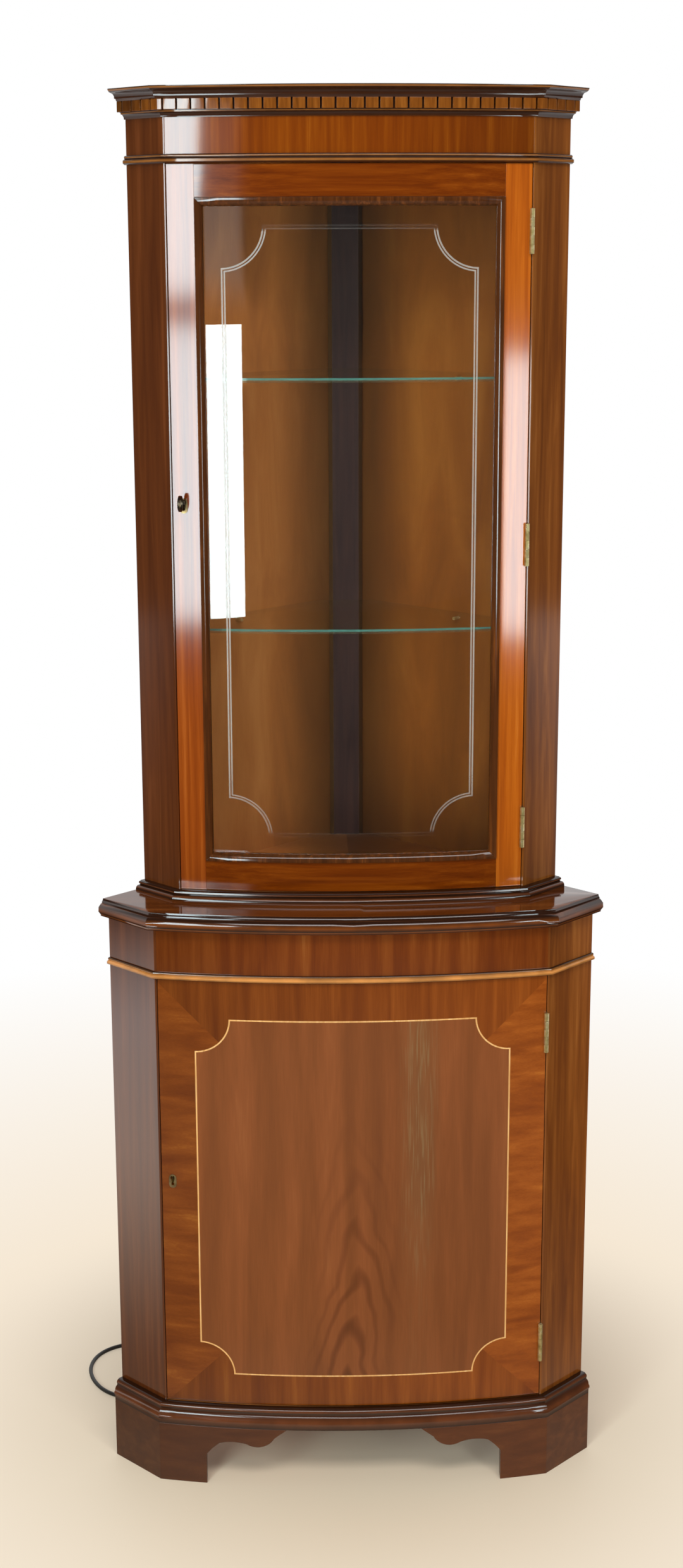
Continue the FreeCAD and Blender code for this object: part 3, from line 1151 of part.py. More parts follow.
def lower_door():
    """Bowed cupboard door: panel, inlaid line, escutcheon and lock."""
    pieces = {}
    half = LOWER.door_half
    (case, bolt), cuts = lock(LOWER, LOWER_KEYHOLE_X, LOWER_KEYHOLE_Z)
    panel = bowed_board(LOWER, (-half, half), -DOOR_THICKNESS, 0, LOWER_DOOR_BOTTOM, LOWER_DOOR_TOP)
    cuts = cuts + leaf_mortises(LOWER, LOWER_HINGE_MIDDLES, -1) + [inlay_line(OVERRUN)]
    pieces["lower_door_panel"] = panel.cut(cuts)
    pieces["lower_door_inlay"] = inlay_line(0.0)
    pieces["lower_escutcheon"] = escutcheon(LOWER, LOWER_KEYHOLE_X, LOWER_KEYHOLE_Z)
    pieces["lower_lock_case"] = case
    pieces["lower_lock_bolt"] = bolt
    return pieces


def hinges():
    """Brass butt hinges on the right of both doors, grouped by what carries them."""
    frame_leaves = []
    pins = []
    pieces = {}
    for name, plan, middles in (("upper", UPPER, UPPER_HINGE_MIDDLES), ("lower", LOWER, LOWER_HINGE_MIDDLES)):
        door_leaves = []
        for middle in middles:
            frame_leaf, door_leaf, pin = hinge(plan, middle)
            frame_leaves.append(frame_leaf)
            door_leaves.append(door_leaf)
            pins.append(pin)
        pieces["hinge_leaves_%s_door" % name] = solids_of(door_leaves)
    pieces["hinge_leaves_frame"] = solids_of(frame_leaves)
    pieces["hinge_pins"] = solids_of(pins)
    return pieces


def cord():
    """Free lead, its coil and its plug."""
    return {"cord_run": cord_run(), "cord_coil": cord_coil(), "cord_tail": cord_tail(), "mains_plug": mains_plug()}


def main():
    os.makedirs("parts", exist_ok=True)
    pieces = {}
    for group in (lower_half, upper_half, upper_door, lower_door, hinges, cord):
        pieces.update(group())
    front = LOWER.front_y(0, BASE_TOP_OVERHANG)
    rear = -CHAMFER + CLIP_DEPTH
    shift = -(front + rear) / 2
    print("pieces", len(pieces), "shift %.3f" % shift)
    for name, shape in pieces.items():
        shape.translate(vec(0, shift))
        shape.exportStep("parts/%s.step" % name)


main()
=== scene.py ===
import math

import bmesh
import bpy
from mathutils import Matrix, Vector


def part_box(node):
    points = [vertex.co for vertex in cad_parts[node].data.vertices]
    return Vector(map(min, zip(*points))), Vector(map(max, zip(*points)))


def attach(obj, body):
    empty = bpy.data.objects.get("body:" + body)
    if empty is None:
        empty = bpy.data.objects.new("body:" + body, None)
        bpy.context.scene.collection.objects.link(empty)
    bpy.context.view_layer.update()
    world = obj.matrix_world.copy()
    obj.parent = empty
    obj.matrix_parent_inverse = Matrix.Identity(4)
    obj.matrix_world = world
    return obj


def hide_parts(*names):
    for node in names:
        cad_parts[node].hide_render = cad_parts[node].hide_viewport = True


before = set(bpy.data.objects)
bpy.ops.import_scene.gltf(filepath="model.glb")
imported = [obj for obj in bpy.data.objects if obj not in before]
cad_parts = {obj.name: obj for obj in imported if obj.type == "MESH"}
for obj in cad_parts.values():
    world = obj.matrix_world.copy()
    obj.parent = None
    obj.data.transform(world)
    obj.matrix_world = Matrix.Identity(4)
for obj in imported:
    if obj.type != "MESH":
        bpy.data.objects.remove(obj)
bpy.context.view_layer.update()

# Camera. It stands where the photograph was taken from: 3 metres in front, a little to the left of
# the middle and at eye height, looking slightly down. A size in millimetres times MM is in metres.
MM = 0.001
CAMERA_PLACE = (-68.4 * MM, -2976.7 * MM, 1709.5 * MM)
CAMERA_PITCH = math.radians(13.636)
CAMERA_YAW = math.radians(1.106)
CAMERA_ROLL = math.radians(-0.183)
LENS_MM = 49.51
camera_data = bpy.data.cameras.new("camera")
camera_data.lens = LENS_MM
camera_data.sensor_width = 36
camera = bpy.data.objects.new("camera", camera_data)
bpy.context.scene.collection.objects.link(camera)
camera.matrix_world = (Matrix.Translation(CAMERA_PLACE)
                       @ Matrix.Rotation(-CAMERA_YAW, 4, "Z")
                       @ Matrix.Rotation(math.pi / 2 - CAMERA_PITCH, 4, "X")
                       @ Matrix.Rotation(CAMERA_ROLL, 4, "Z"))
bpy.context.scene.camera = camera
bpy.context.scene.view_settings.view_transform = "Standard"


# Flex. Black round PVC flex, 6 mm across and matt, as a lamp lead has. It leaves the lowest clip
# behind the cabinet, drops to the floor, makes one loose loop out to the left, and the rest is
# wound into a two-layer coil behind the cabinet, with a moulded plug on its end.
FLEX_MM = 6.0
FLEX_EXIT = (0.0, 209.3, 130.0)
FLEX_ROUTE = [(0.0, 209.3, 88.0), (-13.0, 213.1, 47.0), (-46.0, 217.1, 14.0), (-92.0, 215.1, 3.0),
              (-146.0, 219.1, 3.0), (-202.0, 214.6, 3.0), (-258.0, 219.4, 3.0),
              (-310.0, 213.1, 3.0), (-360.0, 216.1, 3.0), (-397.0, 190.1, 3.0),
              (-411.0, 148.1, 3.0), (-404.0, 104.1, 3.0), (-380.0, 63.1, 3.0), (-342.0, 42.1, 3.0),
              (-287.0, 43.4, 3.0)]
FLEX_COIL_CENTRE = (-251.0, 105.1)
FLEX_COIL_RADIUS = 41.0
FLEX_COIL_PITCH = 6.7
FLEX_LAYER_STEP = 6.6
FLEX_TURNS_DOWN = 2.0
FLEX_TURNS_CLIMB = 0.5
FLEX_TURNS_UP = 1.75
FLEX_POINTS_PER_TURN = 16
FLEX_TAIL = [(-211.7, 141.0, 9.6), (-186.0, 170.1, 8.6), (-148.0, 184.1, 6.85),
             (-120.0, 182.1, 6.85)]


def coil_place(turn):
    """Centre line of the coil after a number of turns."""
    past = turn - FLEX_TURNS_DOWN
    if past <= 0:
        turns_in, rise = turn, 0.0
    elif past <= FLEX_TURNS_CLIMB:
        turns_in = FLEX_TURNS_DOWN + past - past ** 2 / FLEX_TURNS_CLIMB
        rise = (1 - math.cos(math.pi * past / FLEX_TURNS_CLIMB)) / 2
    else:
        turns_in, rise = FLEX_TURNS_DOWN + FLEX_TURNS_CLIMB - past, 1.0
    radius = FLEX_COIL_RADIUS - FLEX_COIL_PITCH * turns_in
    angle = 2 * math.pi * (turn - 1 / 4)
    return (FLEX_COIL_CENTRE[0] + radius * math.cos(angle),
            FLEX_COIL_CENTRE[1] + radius * math.sin(angle), FLEX_MM / 2 + FLEX_LAYER_STEP * rise)


coil_turns = FLEX_TURNS_DOWN + FLEX_TURNS_CLIMB + FLEX_TURNS_UP
coil_count = round(coil_turns * FLEX_POINTS_PER_TURN)
coil_points = [coil_place(coil_turns * step / coil_count) for step in range(coil_count + 1)]
flex_points = [FLEX_EXIT] + FLEX_ROUTE + coil_points + FLEX_TAIL
flex_curve = bpy.data.curves.new("flex", "CURVE")
flex_curve.dimensions = "3D"
flex_curve.bevel_depth = 1.0  # metres, times each point's own radius
flex_curve.bevel_resolution = 4
flex_curve.resolution_u = 6
flex_curve.use_fill_caps = True
flex_spline = flex_curve.splines.new("NURBS")
flex_spline.points.add(len(flex_points) - 1)
for point, place in zip(flex_spline.points, flex_points):
    point.co = (place[0] * MM, place[1] * MM, place[2] * MM, 1.0)
    point.radius = FLEX_MM / 2 * MM
flex_spline.order_u = 3
flex_spline.use_endpoint_u = True
flex = bpy.data.objects.new("flex", flex_curve)
bpy.context.scene.collection.objects.link(flex)
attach(flex, "cabinet")
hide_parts("cord_run", "cord_coil", "cord_tail")

# The tie is a soft PVC strap, a flat band bent round the bundle with rounded corners.
TIE_TURN = 0.625
TIE_INNER_RADIUS = 25.0
TIE_OUTER_RADIUS = 40.4
TIE_HEIGHT = 13.4
TIE_WIDTH = 5.0
TIE_THICKNESS = 0.7
TIE_CORNER = 2.5
TIE_CORNER_STEPS = 4


def skin(mesh, first, second):
    """Joins two closed loops, of as many vertices each, with a band of faces."""
    for index in range(len(first)):
        after = (index + 1) % len(first)
        mesh.faces.new((first[index], second[index], second[after], first[after]))


def mesh_object(name, mesh):
    """Turns a bmesh into an object of the scene."""
    data = bpy.data.meshes.new(name)
    mesh.to_mesh(data)
    mesh.free()
    made = bpy.data.objects.new(name, data)
    bpy.context.scene.collection.objects.link(made)
    return made


tie_angle = 2 * math.pi * (TIE_TURN - 1 / 4)
outward = Vector((math.cos(tie_angle), math.sin(tie_angle), 0))
along = Vector((-math.sin(tie_angle), math.cos(tie_angle), 0))
coil_middle = Vector(FLEX_COIL_CENTRE + (0.0,))
near_r, far_r = TIE_INNER_RADIUS + TIE_CORNER, TIE_OUTER_RADIUS - TIE_CORNER
low_z, high_z = TIE_CORNER, TIE_HEIGHT - TIE_CORNER
tie_mesh = bmesh.new()
loops = []
for reach in (TIE_CORNER, TIE_CORNER - TIE_THICKNESS):
    for side in (-TIE_WIDTH / 2, TIE_WIDTH / 2):
        loop = []
        corners = ((far_r, high_z), (near_r, high_z), (near_r, low_z), (far_r, low_z))
        for quarter, (middle_r, middle_z) in enumerate(corners):
            for step in range(TIE_CORNER_STEPS + 1):
                angle = math.pi / 2 * (quarter + step / TIE_CORNER_STEPS)
                place = coil_middle + outward * (middle_r + reach * math.cos(angle)) + along * side
                place.z = middle_z + reach * math.sin(angle)
                loop.append(tie_mesh.verts.new(place * MM))
        loops.append(loop)
outer_left, outer_right, inner_left, inner_right = loops
skin(tie_mesh, outer_left, outer_right)
skin(tie_mesh, outer_right, inner_right)
skin(tie_mesh, inner_right, inner_left)
skin(tie_mesh, inner_left, outer_left)
bmesh.ops.recalc_face_normals(tie_mesh, faces=tie_mesh.faces)
coil_tie = mesh_object("coil_tie", tie_mesh)
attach(coil_tie, "cabinet")


def linear(hex_colour):
    """An sRGB hex colour as linear red, green, blue and alpha."""
    parts = [int(hex_colour[i:i + 2], 16) / 255 for i in (1, 3, 5)]
    light = [c / 12.92 if c <= 0.04045 else ((c + 0.055) / 1.055) ** 2.4 for c in parts]
    return (*light, 1.0)


def new_material(name):
    """An empty node material and its tree."""
    material = bpy.data.materials.new(name)
    material.use_nodes = True
    material.node_tree.nodes.clear()
    return material, material.node_tree


def add(tree, kind, settings=None, stops=(), **inputs):
    """Adds a node with its settings, its colour stops and its inputs, which are values or sockets.
    An input is called by its name, with _ for a space, or by i and its number."""
    node = tree.nodes.new("ShaderNode" + kind)
    for name, value in (settings or {}).items():
        setattr(node, name, value)
    for index, (position, colour) in enumerate(stops):
        elements = node.color_ramp.elements
        element = elements[index] if index < len(elements) else elements.new(position)
        element.position = position
        element.color = linear(colour)
    for name, value in inputs.items():
        key = int(name[1:]) if name[0] == "i" and name[1:].isdigit() else name.replace("_", " ")
        if isinstance(value, bpy.types.NodeSocket):
            tree.links.new(value, node.inputs[key])
        else:
            node.inputs[key].default_value = value
    return node


PVC_STOPS = [(0.35, "#1A1613"), (0.7, "#2A241F")]
pvc, tree = new_material("extruded_black_pvc")
place = add(tree, "TexCoord").outputs["Object"]
scuff = add(tree, "TexNoise", Vector=place, Scale=1 / (4 * MM), Detail=3.0).outputs["Fac"]
colour = add(tree, "ValToRGB", stops=PVC_STOPS, Fac=scuff).outputs["Color"]
rough = add(tree, "MapRange", Value=scuff, To_Min=0.42, To_Max=0.58).outputs["Result"]
sheath = add(tree, "BsdfPrincipled", Base_Color=colour, Roughness=rough, IOR=1.53).outputs["BSDF"]
add(tree, "OutputMaterial", Surface=sheath)
flex_curve.materials.append(pvc)
coil_tie.data.materials.append(pvc)


# Mahogany case boards. The canted sides are quarter-sawn mahogany with a ribbon stripe, stained red
# brown and finished in high-gloss lacquer, which gives crisp reflections over a soft, dark figure.
# Every board's arrises are eased by half a millimetre, so they catch the light as real ones do.
ARRIS_MM = 0.5
SMOOTH_UNDER_DEGREES = 50
WELD_MM = 0.01
LACQUER_IOR = 1.5
LACQUER_ROUGHNESS = 0.09
PORE_MM = 0.8
PORE_STRETCH = 45
PORE_WEIGHT = 0.24
RIBBON_MM = 11
FIGURE_DARKEST = 0.32
FIGURE_PALEST = 0.92
WOOD_PORE_DEPTH_MM = 0.15
COAT_PORE_DEPTH_MM = 0.1


def ease_arrises(names, width_mm=ARRIS_MM):
    """Rounds the sharp edges of CAD nodes a little and shades their gentle ones smooth."""
    for name in names:
        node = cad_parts[name]
        for polygon in node.data.polygons:
            polygon.use_smooth = True
        weld = node.modifiers.new("weld", "WELD")
        weld.merge_threshold = WELD_MM * MM
        bevel = node.modifiers.new("eased_arris", "BEVEL")
        bevel.width = width_mm * MM
        bevel.segments = 2
        bevel.limit_method = "ANGLE"
        bevel.angle_limit = math.radians(SMOOTH_UNDER_DEGREES)
        level = node.modifiers.new("level_faces", "WEIGHTED_NORMAL")
        level.mode = "FACE_AREA"
        level.weight = 60


def paint(names, material):
    """Gives CAD nodes one material."""
    for name in names:
        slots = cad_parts[name].data.materials
        slots.clear()
        slots.append(material)


def grain(tree, along, figure_mm, stretch, stops, wander=0.5, ribbon=0.0, painted_shading=None):
    """Wood figure along an axis: its colour, and its fine pores for the bump. The painted shading,
    light and shade painted across the wood, gives two places across, in millimetres, and then how
    bright the wood is at each of them."""
    place = add(tree, "TexCoord").outputs["Object"]
    squeeze = [1.0, 1.0, 1.0]
    squeeze["XYZ".index(along)] = 1 / stretch
    long_place = add(tree, "VectorMath", {"operation": "MULTIPLY"}, i0=place,
                     i1=tuple(squeeze)).outputs["Vector"]
    figure = add(tree, "TexNoise", Vector=long_place, Scale=1 / (figure_mm * MM), Detail=4.0,
                 Roughness=0.55, Distortion=wander).outputs["Fac"]
    squeeze["XYZ".index(along)] = 1 / PORE_STRETCH
    pore_place = add(tree, "VectorMath", {"operation": "MULTIPLY"}, i0=place,
                     i1=tuple(squeeze)).outputs["Vector"]
    pores = add(tree, "TexNoise", Vector=pore_place, Scale=1 / (PORE_MM * MM),
                Detail=2.0).outputs["Fac"]
    stripe = add(tree, "TexNoise", Vector=pore_place, Scale=1 / (RIBBON_MM * MM),
                 Detail=1.0).outputs["Fac"]
    stripe = add(tree, "MapRange", Value=stripe, From_Min=0.3, From_Max=0.7, To_Min=-ribbon,
                 To_Max=ribbon)
    mixed = add(tree, "Math", {"operation": "MULTIPLY_ADD"}, i0=pores, i1=PORE_WEIGHT, i2=figure)
    mixed = add(tree, "Math", {"operation": "ADD"}, i0=mixed.outputs[0],
                i1=stripe.outputs["Result"])
    level = add(tree, "MapRange", Value=mixed.outputs[0], From_Min=FIGURE_DARKEST,
                From_Max=FIGURE_PALEST).outputs["Result"]
    colour = add(tree, "ValToRGB", stops=stops, Fac=level).outputs["Color"]
    if painted_shading:
        from_mm, to_mm, from_brightness, to_brightness = painted_shading
        across = add(tree, "SeparateXYZ", Vector=place).outputs["X"]
        shade = add(tree, "MapRange", Value=across, From_Min=from_mm * MM, From_Max=to_mm * MM,
                    To_Min=from_brightness, To_Max=to_brightness).outputs["Result"]
        colour = add(tree, "VectorMath", {"operation": "SCALE"}, i0=colour,
                     Scale=shade).outputs["Vector"]
    return colour, pores


def lacquered(tree, colour, pores, roughness=LACQUER_ROUGHNESS, sheen=1.0):
    """Clear lacquer over stained wood. The wood has no gloss of its own, and the coat just follows
    its pores."""
    under = add(tree, "Bump", Strength=0.25, Distance=WOOD_PORE_DEPTH_MM * MM,
                Height=pores).outputs["Normal"]
    over = add(tree, "Bump", Strength=0.05, Distance=COAT_PORE_DEPTH_MM * MM,
               Height=pores).outputs["Normal"]
    wood = add(tree, "BsdfPrincipled", Base_Color=colour, Roughness=0.6, Specular_IOR_Level=0.0,
               Normal=under, Coat_Weight=sheen, Coat_Roughness=roughness, Coat_IOR=LACQUER_IOR,
               Coat_Normal=over)
    add(tree, "OutputMaterial", Surface=wood.outputs["BSDF"])


def lacquered_wood(name, along, figure_mm, stretch, stops, wander=0.5, ribbon=0.0, painted_shading=None):
    """A whole lacquered wood material of one figure."""
    material, tree = new_material(name)
    colour, pores = grain(tree, along, figure_mm, stretch, stops, wander, ribbon, painted_shading)
    lacquered(tree, colour, pores)
    return material


LEFT_SIDES = ["lower_stile_left", "upper_stile_left"]
RIGHT_SIDES = ["lower_stile_right", "upper_stile_right"]
# Painted light and shade: the left sides are a shaded copy of the mahogany and the right sides a
# lit copy, painted lighter still towards their back edge.
SHADED_LEFT_SIDE_BROWN = [(0.0, "#49220C"), (0.35, "#53280F"), (0.65, "#5E2F12"), (1.0, "#6E3A1A")]
LIT_RIGHT_SIDE_BROWN = [(0.0, "#5E3012"), (0.35, "#6F3B14"), (0.65, "#804719"), (1.0, "#955A26")]
RIGHT_SIDE_PAINTED_LIGHT = (240, 345, 0.92, 1.45)
paint(LEFT_SIDES, lacquered_wood("shaded_ribbon_mahogany_lacquered", "Z", figure_mm=14, stretch=24,
                                 stops=SHADED_LEFT_SIDE_BROWN, wander=0.6, ribbon=0.08))
paint(RIGHT_SIDES, lacquered_wood("lit_ribbon_mahogany_lacquered", "Z", figure_mm=16, stretch=16,
                                  stops=LIT_RIGHT_SIDE_BROWN, wander=0.9, ribbon=0.1,
                                  painted_shading=RIGHT_SIDE_PAINTED_LIGHT))
ease_arrises(LEFT_SIDES + RIGHT_SIDES)


# Friezes. Both boards above the doors are veneered with the grain upright, finer in the upper one.
# The upright grain shows as a close, even stripe under the lacquer.
UPPER_FRIEZE_BROWN = [(0.0, "#692B03"), (0.4, "#783504"), (0.7, "#864006"), (1.0, "#9A5412")]
LOWER_FRIEZE_BROWN = [(0.0, "#5A260B"), (0.4, "#6A300C"), (0.7, "#793C12"), (1.0, "#8E5222")]
# Painted shade: the upper frieze darkens towards the right, the lower one towards the left.
UPPER_FRIEZE_PAINTED_SHADE = (60, 250, 0.92, 0.6)
LOWER_FRIEZE_PAINTED_SHADE = (-260, -80, 0.78, 1.04)
paint(["upper_frieze"], lacquered_wood("fine_mahogany_veneer_lacquered", "Z", figure_mm=10,
                                       stretch=30, stops=UPPER_FRIEZE_BROWN, wander=0.4,
                                       ribbon=0.06, painted_shading=UPPER_FRIEZE_PAINTED_SHADE))
paint(["lower_frieze"], lacquered_wood("broad_mahogany_veneer_lacquered", "Z", figure_mm=24,
                                       stretch=14, stops=LOWER_FRIEZE_BROWN, wander=0.5,
                                       ribbon=0.08, painted_shading=LOWER_FRIEZE_PAINTED_SHADE))
ease_arrises(["upper_frieze", "lower_frieze"])


# Bracket feet. Solid mahogany with its grain level, sawn to an ogee scroll and stained darker than
# the carcase, with a soft polish that years of mopping have dulled.
FEET = ["foot_front_left", "foot_front_right", "foot_side_left", "foot_side_right", "rear_foot"]
FOOT_BROWN = [(0.0, "#4A2410"), (0.5, "#572C13"), (1.0, "#66381A")]
# Painted light and shade: the feet darken towards the left and lighten towards the right.
FOOT_PAINTED_SHADE = (-330, 330, 0.72, 1.16)
foot_mahogany, tree = new_material("bracket_foot_mahogany_polished")
colour, pores = grain(tree, "X", figure_mm=16, stretch=8, stops=FOOT_BROWN, painted_shading=FOOT_PAINTED_SHADE)
lacquered(tree, colour, pores, roughness=0.22, sheen=0.8)
paint(FEET, foot_mahogany)
ease_arrises(FEET)


# Mouldings. They are run in solid mahogany, stained almost black brown, and mitred at the corners.
# Handling has worn the stain off their crests, and a painted highlight lies on the same crests,
# most on the cupboard's bead and least at the foot, which leaves a coppery line along each of them.
DARK_STAIN = "#2B1408"
MID_STAIN = "#44230F"
RUBBED_HIGHLIGHT = "#A0642E"
BRIGHT_RUBBED_HIGHLIGHT = "#E89A50"
FAINT_RUBBED_HIGHLIGHT = "#6A381C"
MOULDING_ROUGHNESS = 0.14
COLOURS = {"data_type": "RGBA"}


def rubbed_highlit_colour(tree, node_name, crests, crest_highlight=RUBBED_HIGHLIGHT):
    """Dark stain with coppery lines along the crests, wear and painted highlight in one, each given
    by its middle and its half width as shares of the node's height. Also gives the noise that the
    wear follows."""
    low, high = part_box(node_name)
    place = add(tree, "TexCoord").outputs["Object"]
    height = add(tree, "SeparateXYZ", Vector=place).outputs["Z"]
    patchy = add(tree, "TexNoise", Vector=place, Scale=1 / (45 * MM), Detail=3.0).outputs["Fac"]
    share = add(tree, "MapRange", {"clamp": False}, Value=height, From_Min=low.z,
                From_Max=high.z).outputs["Result"]
    stops = [(0.0, MID_STAIN)]
    for middle, half in crests:
        stops += [(middle - half, DARK_STAIN), (middle, crest_highlight), (middle + half, DARK_STAIN)]
    line = add(tree, "ValToRGB", stops=stops, Fac=share).outputs["Color"]
    wear = add(tree, "MapRange", Value=patchy, From_Min=0.35, From_Max=0.6, To_Min=0.6,
               To_Max=1.0).outputs["Result"]
    worn_and_highlit = add(tree, "Mix", COLOURS, i0=wear, i6=linear(DARK_STAIN), i7=line).outputs[2]
    return worn_and_highlit, patchy


CRESTS = {"cornice_moulding": [(0.86, 0.1)], "dentil_moulding": [(0.32, 0.05)],
          "upper_bead": [(0.32, 0.2), (0.8, 0.12)], "lower_bead": [(0.5, 0.48)],
          "surbase_moulding": [(0.36, 0.16), (0.76, 0.12)],
          "base_moulding": [(0.4, 0.38), (0.88, 0.1)]}
CREST_HIGHLIGHTS = {"lower_bead": BRIGHT_RUBBED_HIGHLIGHT, "surbase_moulding": FAINT_RUBBED_HIGHLIGHT,
           "base_moulding": FAINT_RUBBED_HIGHLIGHT}
for moulding_name, crests in CRESTS.items():
    moulding_material, tree = new_material("rubbed_highlit_dark_mahogany_" + moulding_name)
    colour, patchy = rubbed_highlit_colour(tree, moulding_name, crests, CREST_HIGHLIGHTS.get(moulding_name, RUBBED_HIGHLIGHT))
    lacquered(tree, colour, patchy, MOULDING_ROUGHNESS)
    paint([moulding_name], moulding_material)
ease_arrises(CRESTS, width_mm=0.4)


# Dentil course. The little blocks are one planted strip sawn through, in lighter mahogany that the
# stain has hardly reached, so they stand out orange brown before the dark cove behind them.
DENTIL_BROWN = [(0.0, "#5B2E08"), (0.5, "#774111"), (1.0, "#92561C")]
# Painted shade darkens the blocks on the left cant.
DENTIL_PAINTED_SHADE = (-285, -255, 0.5, 1.0)
paint(["dentils"], lacquered_wood("pale_dentil_mahogany_lacquered", "Z", figure_mm=6, stretch=8,
                                  stops=DENTIL_BROWN, painted_shading=DENTIL_PAINTED_SHADE))
ease_arrises(["dentils"], width_mm=0.6)


# Top of the cupboard. A solid mahogany board with its grain from side to side, lipped with a
# thumb-nosed edge. The flat is red brown and mirror-like, and the nose is as dark as the mouldings.
TOP_BROWN = [(0.0, "#4A2208"), (0.35, "#5C2C0E"), (0.65, "#6E3815"), (1.0, "#884C20")]
# The nose carries wear and painted highlight lines along its crests, as the mouldings do.
EDGE_RUBBED_HIGHLIGHT = "#7A3E14"
EDGE_CRESTS = [(0.1, 0.09), (0.4, 0.24)]
top_material, tree = new_material("cupboard_top_mahogany_lacquered")
flat_colour, pores = grain(tree, "X", figure_mm=12, stretch=16, stops=TOP_BROWN)
edge_colour, _ = rubbed_highlit_colour(tree, "base_top_board", EDGE_CRESTS, EDGE_RUBBED_HIGHLIGHT)
upward = add(tree, "SeparateXYZ", Vector=add(tree, "NewGeometry").outputs["Normal"]).outputs["Z"]
on_flat = add(tree, "MapRange", Value=upward, From_Min=0.9, From_Max=0.97).outputs["Result"]
colour = add(tree, "Mix", COLOURS, i0=on_flat, i6=edge_colour, i7=flat_colour).outputs[2]
lacquered(tree, colour, pores)
paint(["base_top_board"], top_material)
ease_arrises(["base_top_board"], width_mm=0.4)


# Inside boards. The backs are plywood faced with a plain, warm veneer inside, finished by rubbing
# wax into it, and less glossy than the front. Painted light brightens the left leaf, most near its
# top, and painted shade darkens the corner and the right leaf towards its side and low down. The
# outer faces, to the walls, are bare and duller.
INSIDE = ["lower_back_left", "lower_back_right", "upper_back_left", "upper_back_right",
          "lower_bottom_board", "lower_shelf", "upper_bottom_board", "upper_top_board"]
RIGHT_INNER_BROWN = [(0.0, "#763F15"), (0.5, "#8A4B19"), (1.0, "#9C5C22")]
# Painted shade: the right leaf darkens towards its side.
RIGHT_INNER_PAINTED_SHADE = (60, 230, 1.0, 0.7)
# The left leaf is a lit copy of the veneer, painted lighter than the right.
LIT_LEFT_INNER_BROWN = [(0.0, "#8E532A"), (0.5, "#A56330"), (1.0, "#B9763F")]
BARE_BROWN = [(0.0, "#7C5636"), (0.5, "#916743"), (1.0, "#A77C55")]
# Painted shade: the colour and reach of the darkening in the corner.
CORNER_SHADE_BROWN = "#3E2410"
CORNER_DARK_MM = 30
CORNER_CLEAR_MM = 120
TOP_LIGHT_FROM_MM = 1540
TOP_LIGHT_FULL_MM = 1680
LOW_SHADE_MM = 870
LOW_SHADE_CLEAR_MM = 1050
SMOOTH = {"interpolation_type": "SMOOTHSTEP"}
inner_veneer, tree = new_material("waxed_inner_veneer")
place = add(tree, "SeparateXYZ", Vector=add(tree, "TexCoord").outputs["Object"])
side, height = place.outputs["X"], place.outputs["Z"]
left_leaf, _ = grain(tree, "Z", figure_mm=60, stretch=4, stops=LIT_LEFT_INNER_BROWN, wander=0.8)
# Painted light: the left leaf grows lighter towards its top.
top_light = add(tree, "MapRange", SMOOTH, Value=height, From_Min=TOP_LIGHT_FROM_MM * MM,
             From_Max=TOP_LIGHT_FULL_MM * MM, To_Min=1.0, To_Max=1.7).outputs["Result"]
left_leaf = add(tree, "VectorMath", {"operation": "SCALE"}, i0=left_leaf,
                Scale=top_light).outputs["Vector"]
right_leaf, _ = grain(tree, "Z", figure_mm=60, stretch=4, stops=RIGHT_INNER_BROWN, wander=0.8,
                      painted_shading=RIGHT_INNER_PAINTED_SHADE)
# Painted shade: the right leaf darkens low down.
low_shade = add(tree, "MapRange", SMOOTH, Value=height, From_Min=LOW_SHADE_MM * MM,
              From_Max=LOW_SHADE_CLEAR_MM * MM, To_Min=0.55, To_Max=1.0).outputs["Result"]
right_leaf = add(tree, "VectorMath", {"operation": "SCALE"}, i0=right_leaf,
                 Scale=low_shade).outputs["Vector"]
on_left = add(tree, "Math", {"operation": "LESS_THAN"}, i0=side, i1=0.0).outputs[0]
waxed_colour = add(tree, "Mix", COLOURS, i0=on_left, i6=right_leaf, i7=left_leaf).outputs[2]
# Painted shade: both leaves darken towards the corner.
from_corner = add(tree, "Math", {"operation": "ABSOLUTE"}, i0=side).outputs[0]
corner_shade = add(tree, "MapRange", SMOOTH, Value=from_corner, From_Min=CORNER_DARK_MM * MM,
            From_Max=CORNER_CLEAR_MM * MM, To_Min=0.75, To_Max=0.0).outputs["Result"]
waxed_colour = add(tree, "Mix", COLOURS, i0=corner_shade, i6=waxed_colour, i7=linear(CORNER_SHADE_BROWN)).outputs[2]
bare_colour, _ = grain(tree, "Z", figure_mm=30, stretch=12, stops=BARE_BROWN)
facing = add(tree, "SeparateXYZ", Vector=add(tree, "NewGeometry").outputs["Normal"]).outputs["Y"]
outer = add(tree, "MapRange", Value=facing, From_Min=0.3, From_Max=0.5).outputs["Result"]
colour = add(tree, "Mix", COLOURS, i0=outer, i6=waxed_colour, i7=bare_colour).outputs[2]
rough = add(tree, "MapRange", Value=outer, To_Min=0.38, To_Max=0.8).outputs["Result"]
boards = add(tree, "BsdfPrincipled", Base_Color=colour, Roughness=rough, IOR=LACQUER_IOR,
             Specular_IOR_Level=0.3)
add(tree, "OutputMaterial", Surface=boards.outputs["BSDF"])
paint(INSIDE, inner_veneer)
ease_arrises(INSIDE, width_mm=0.3)


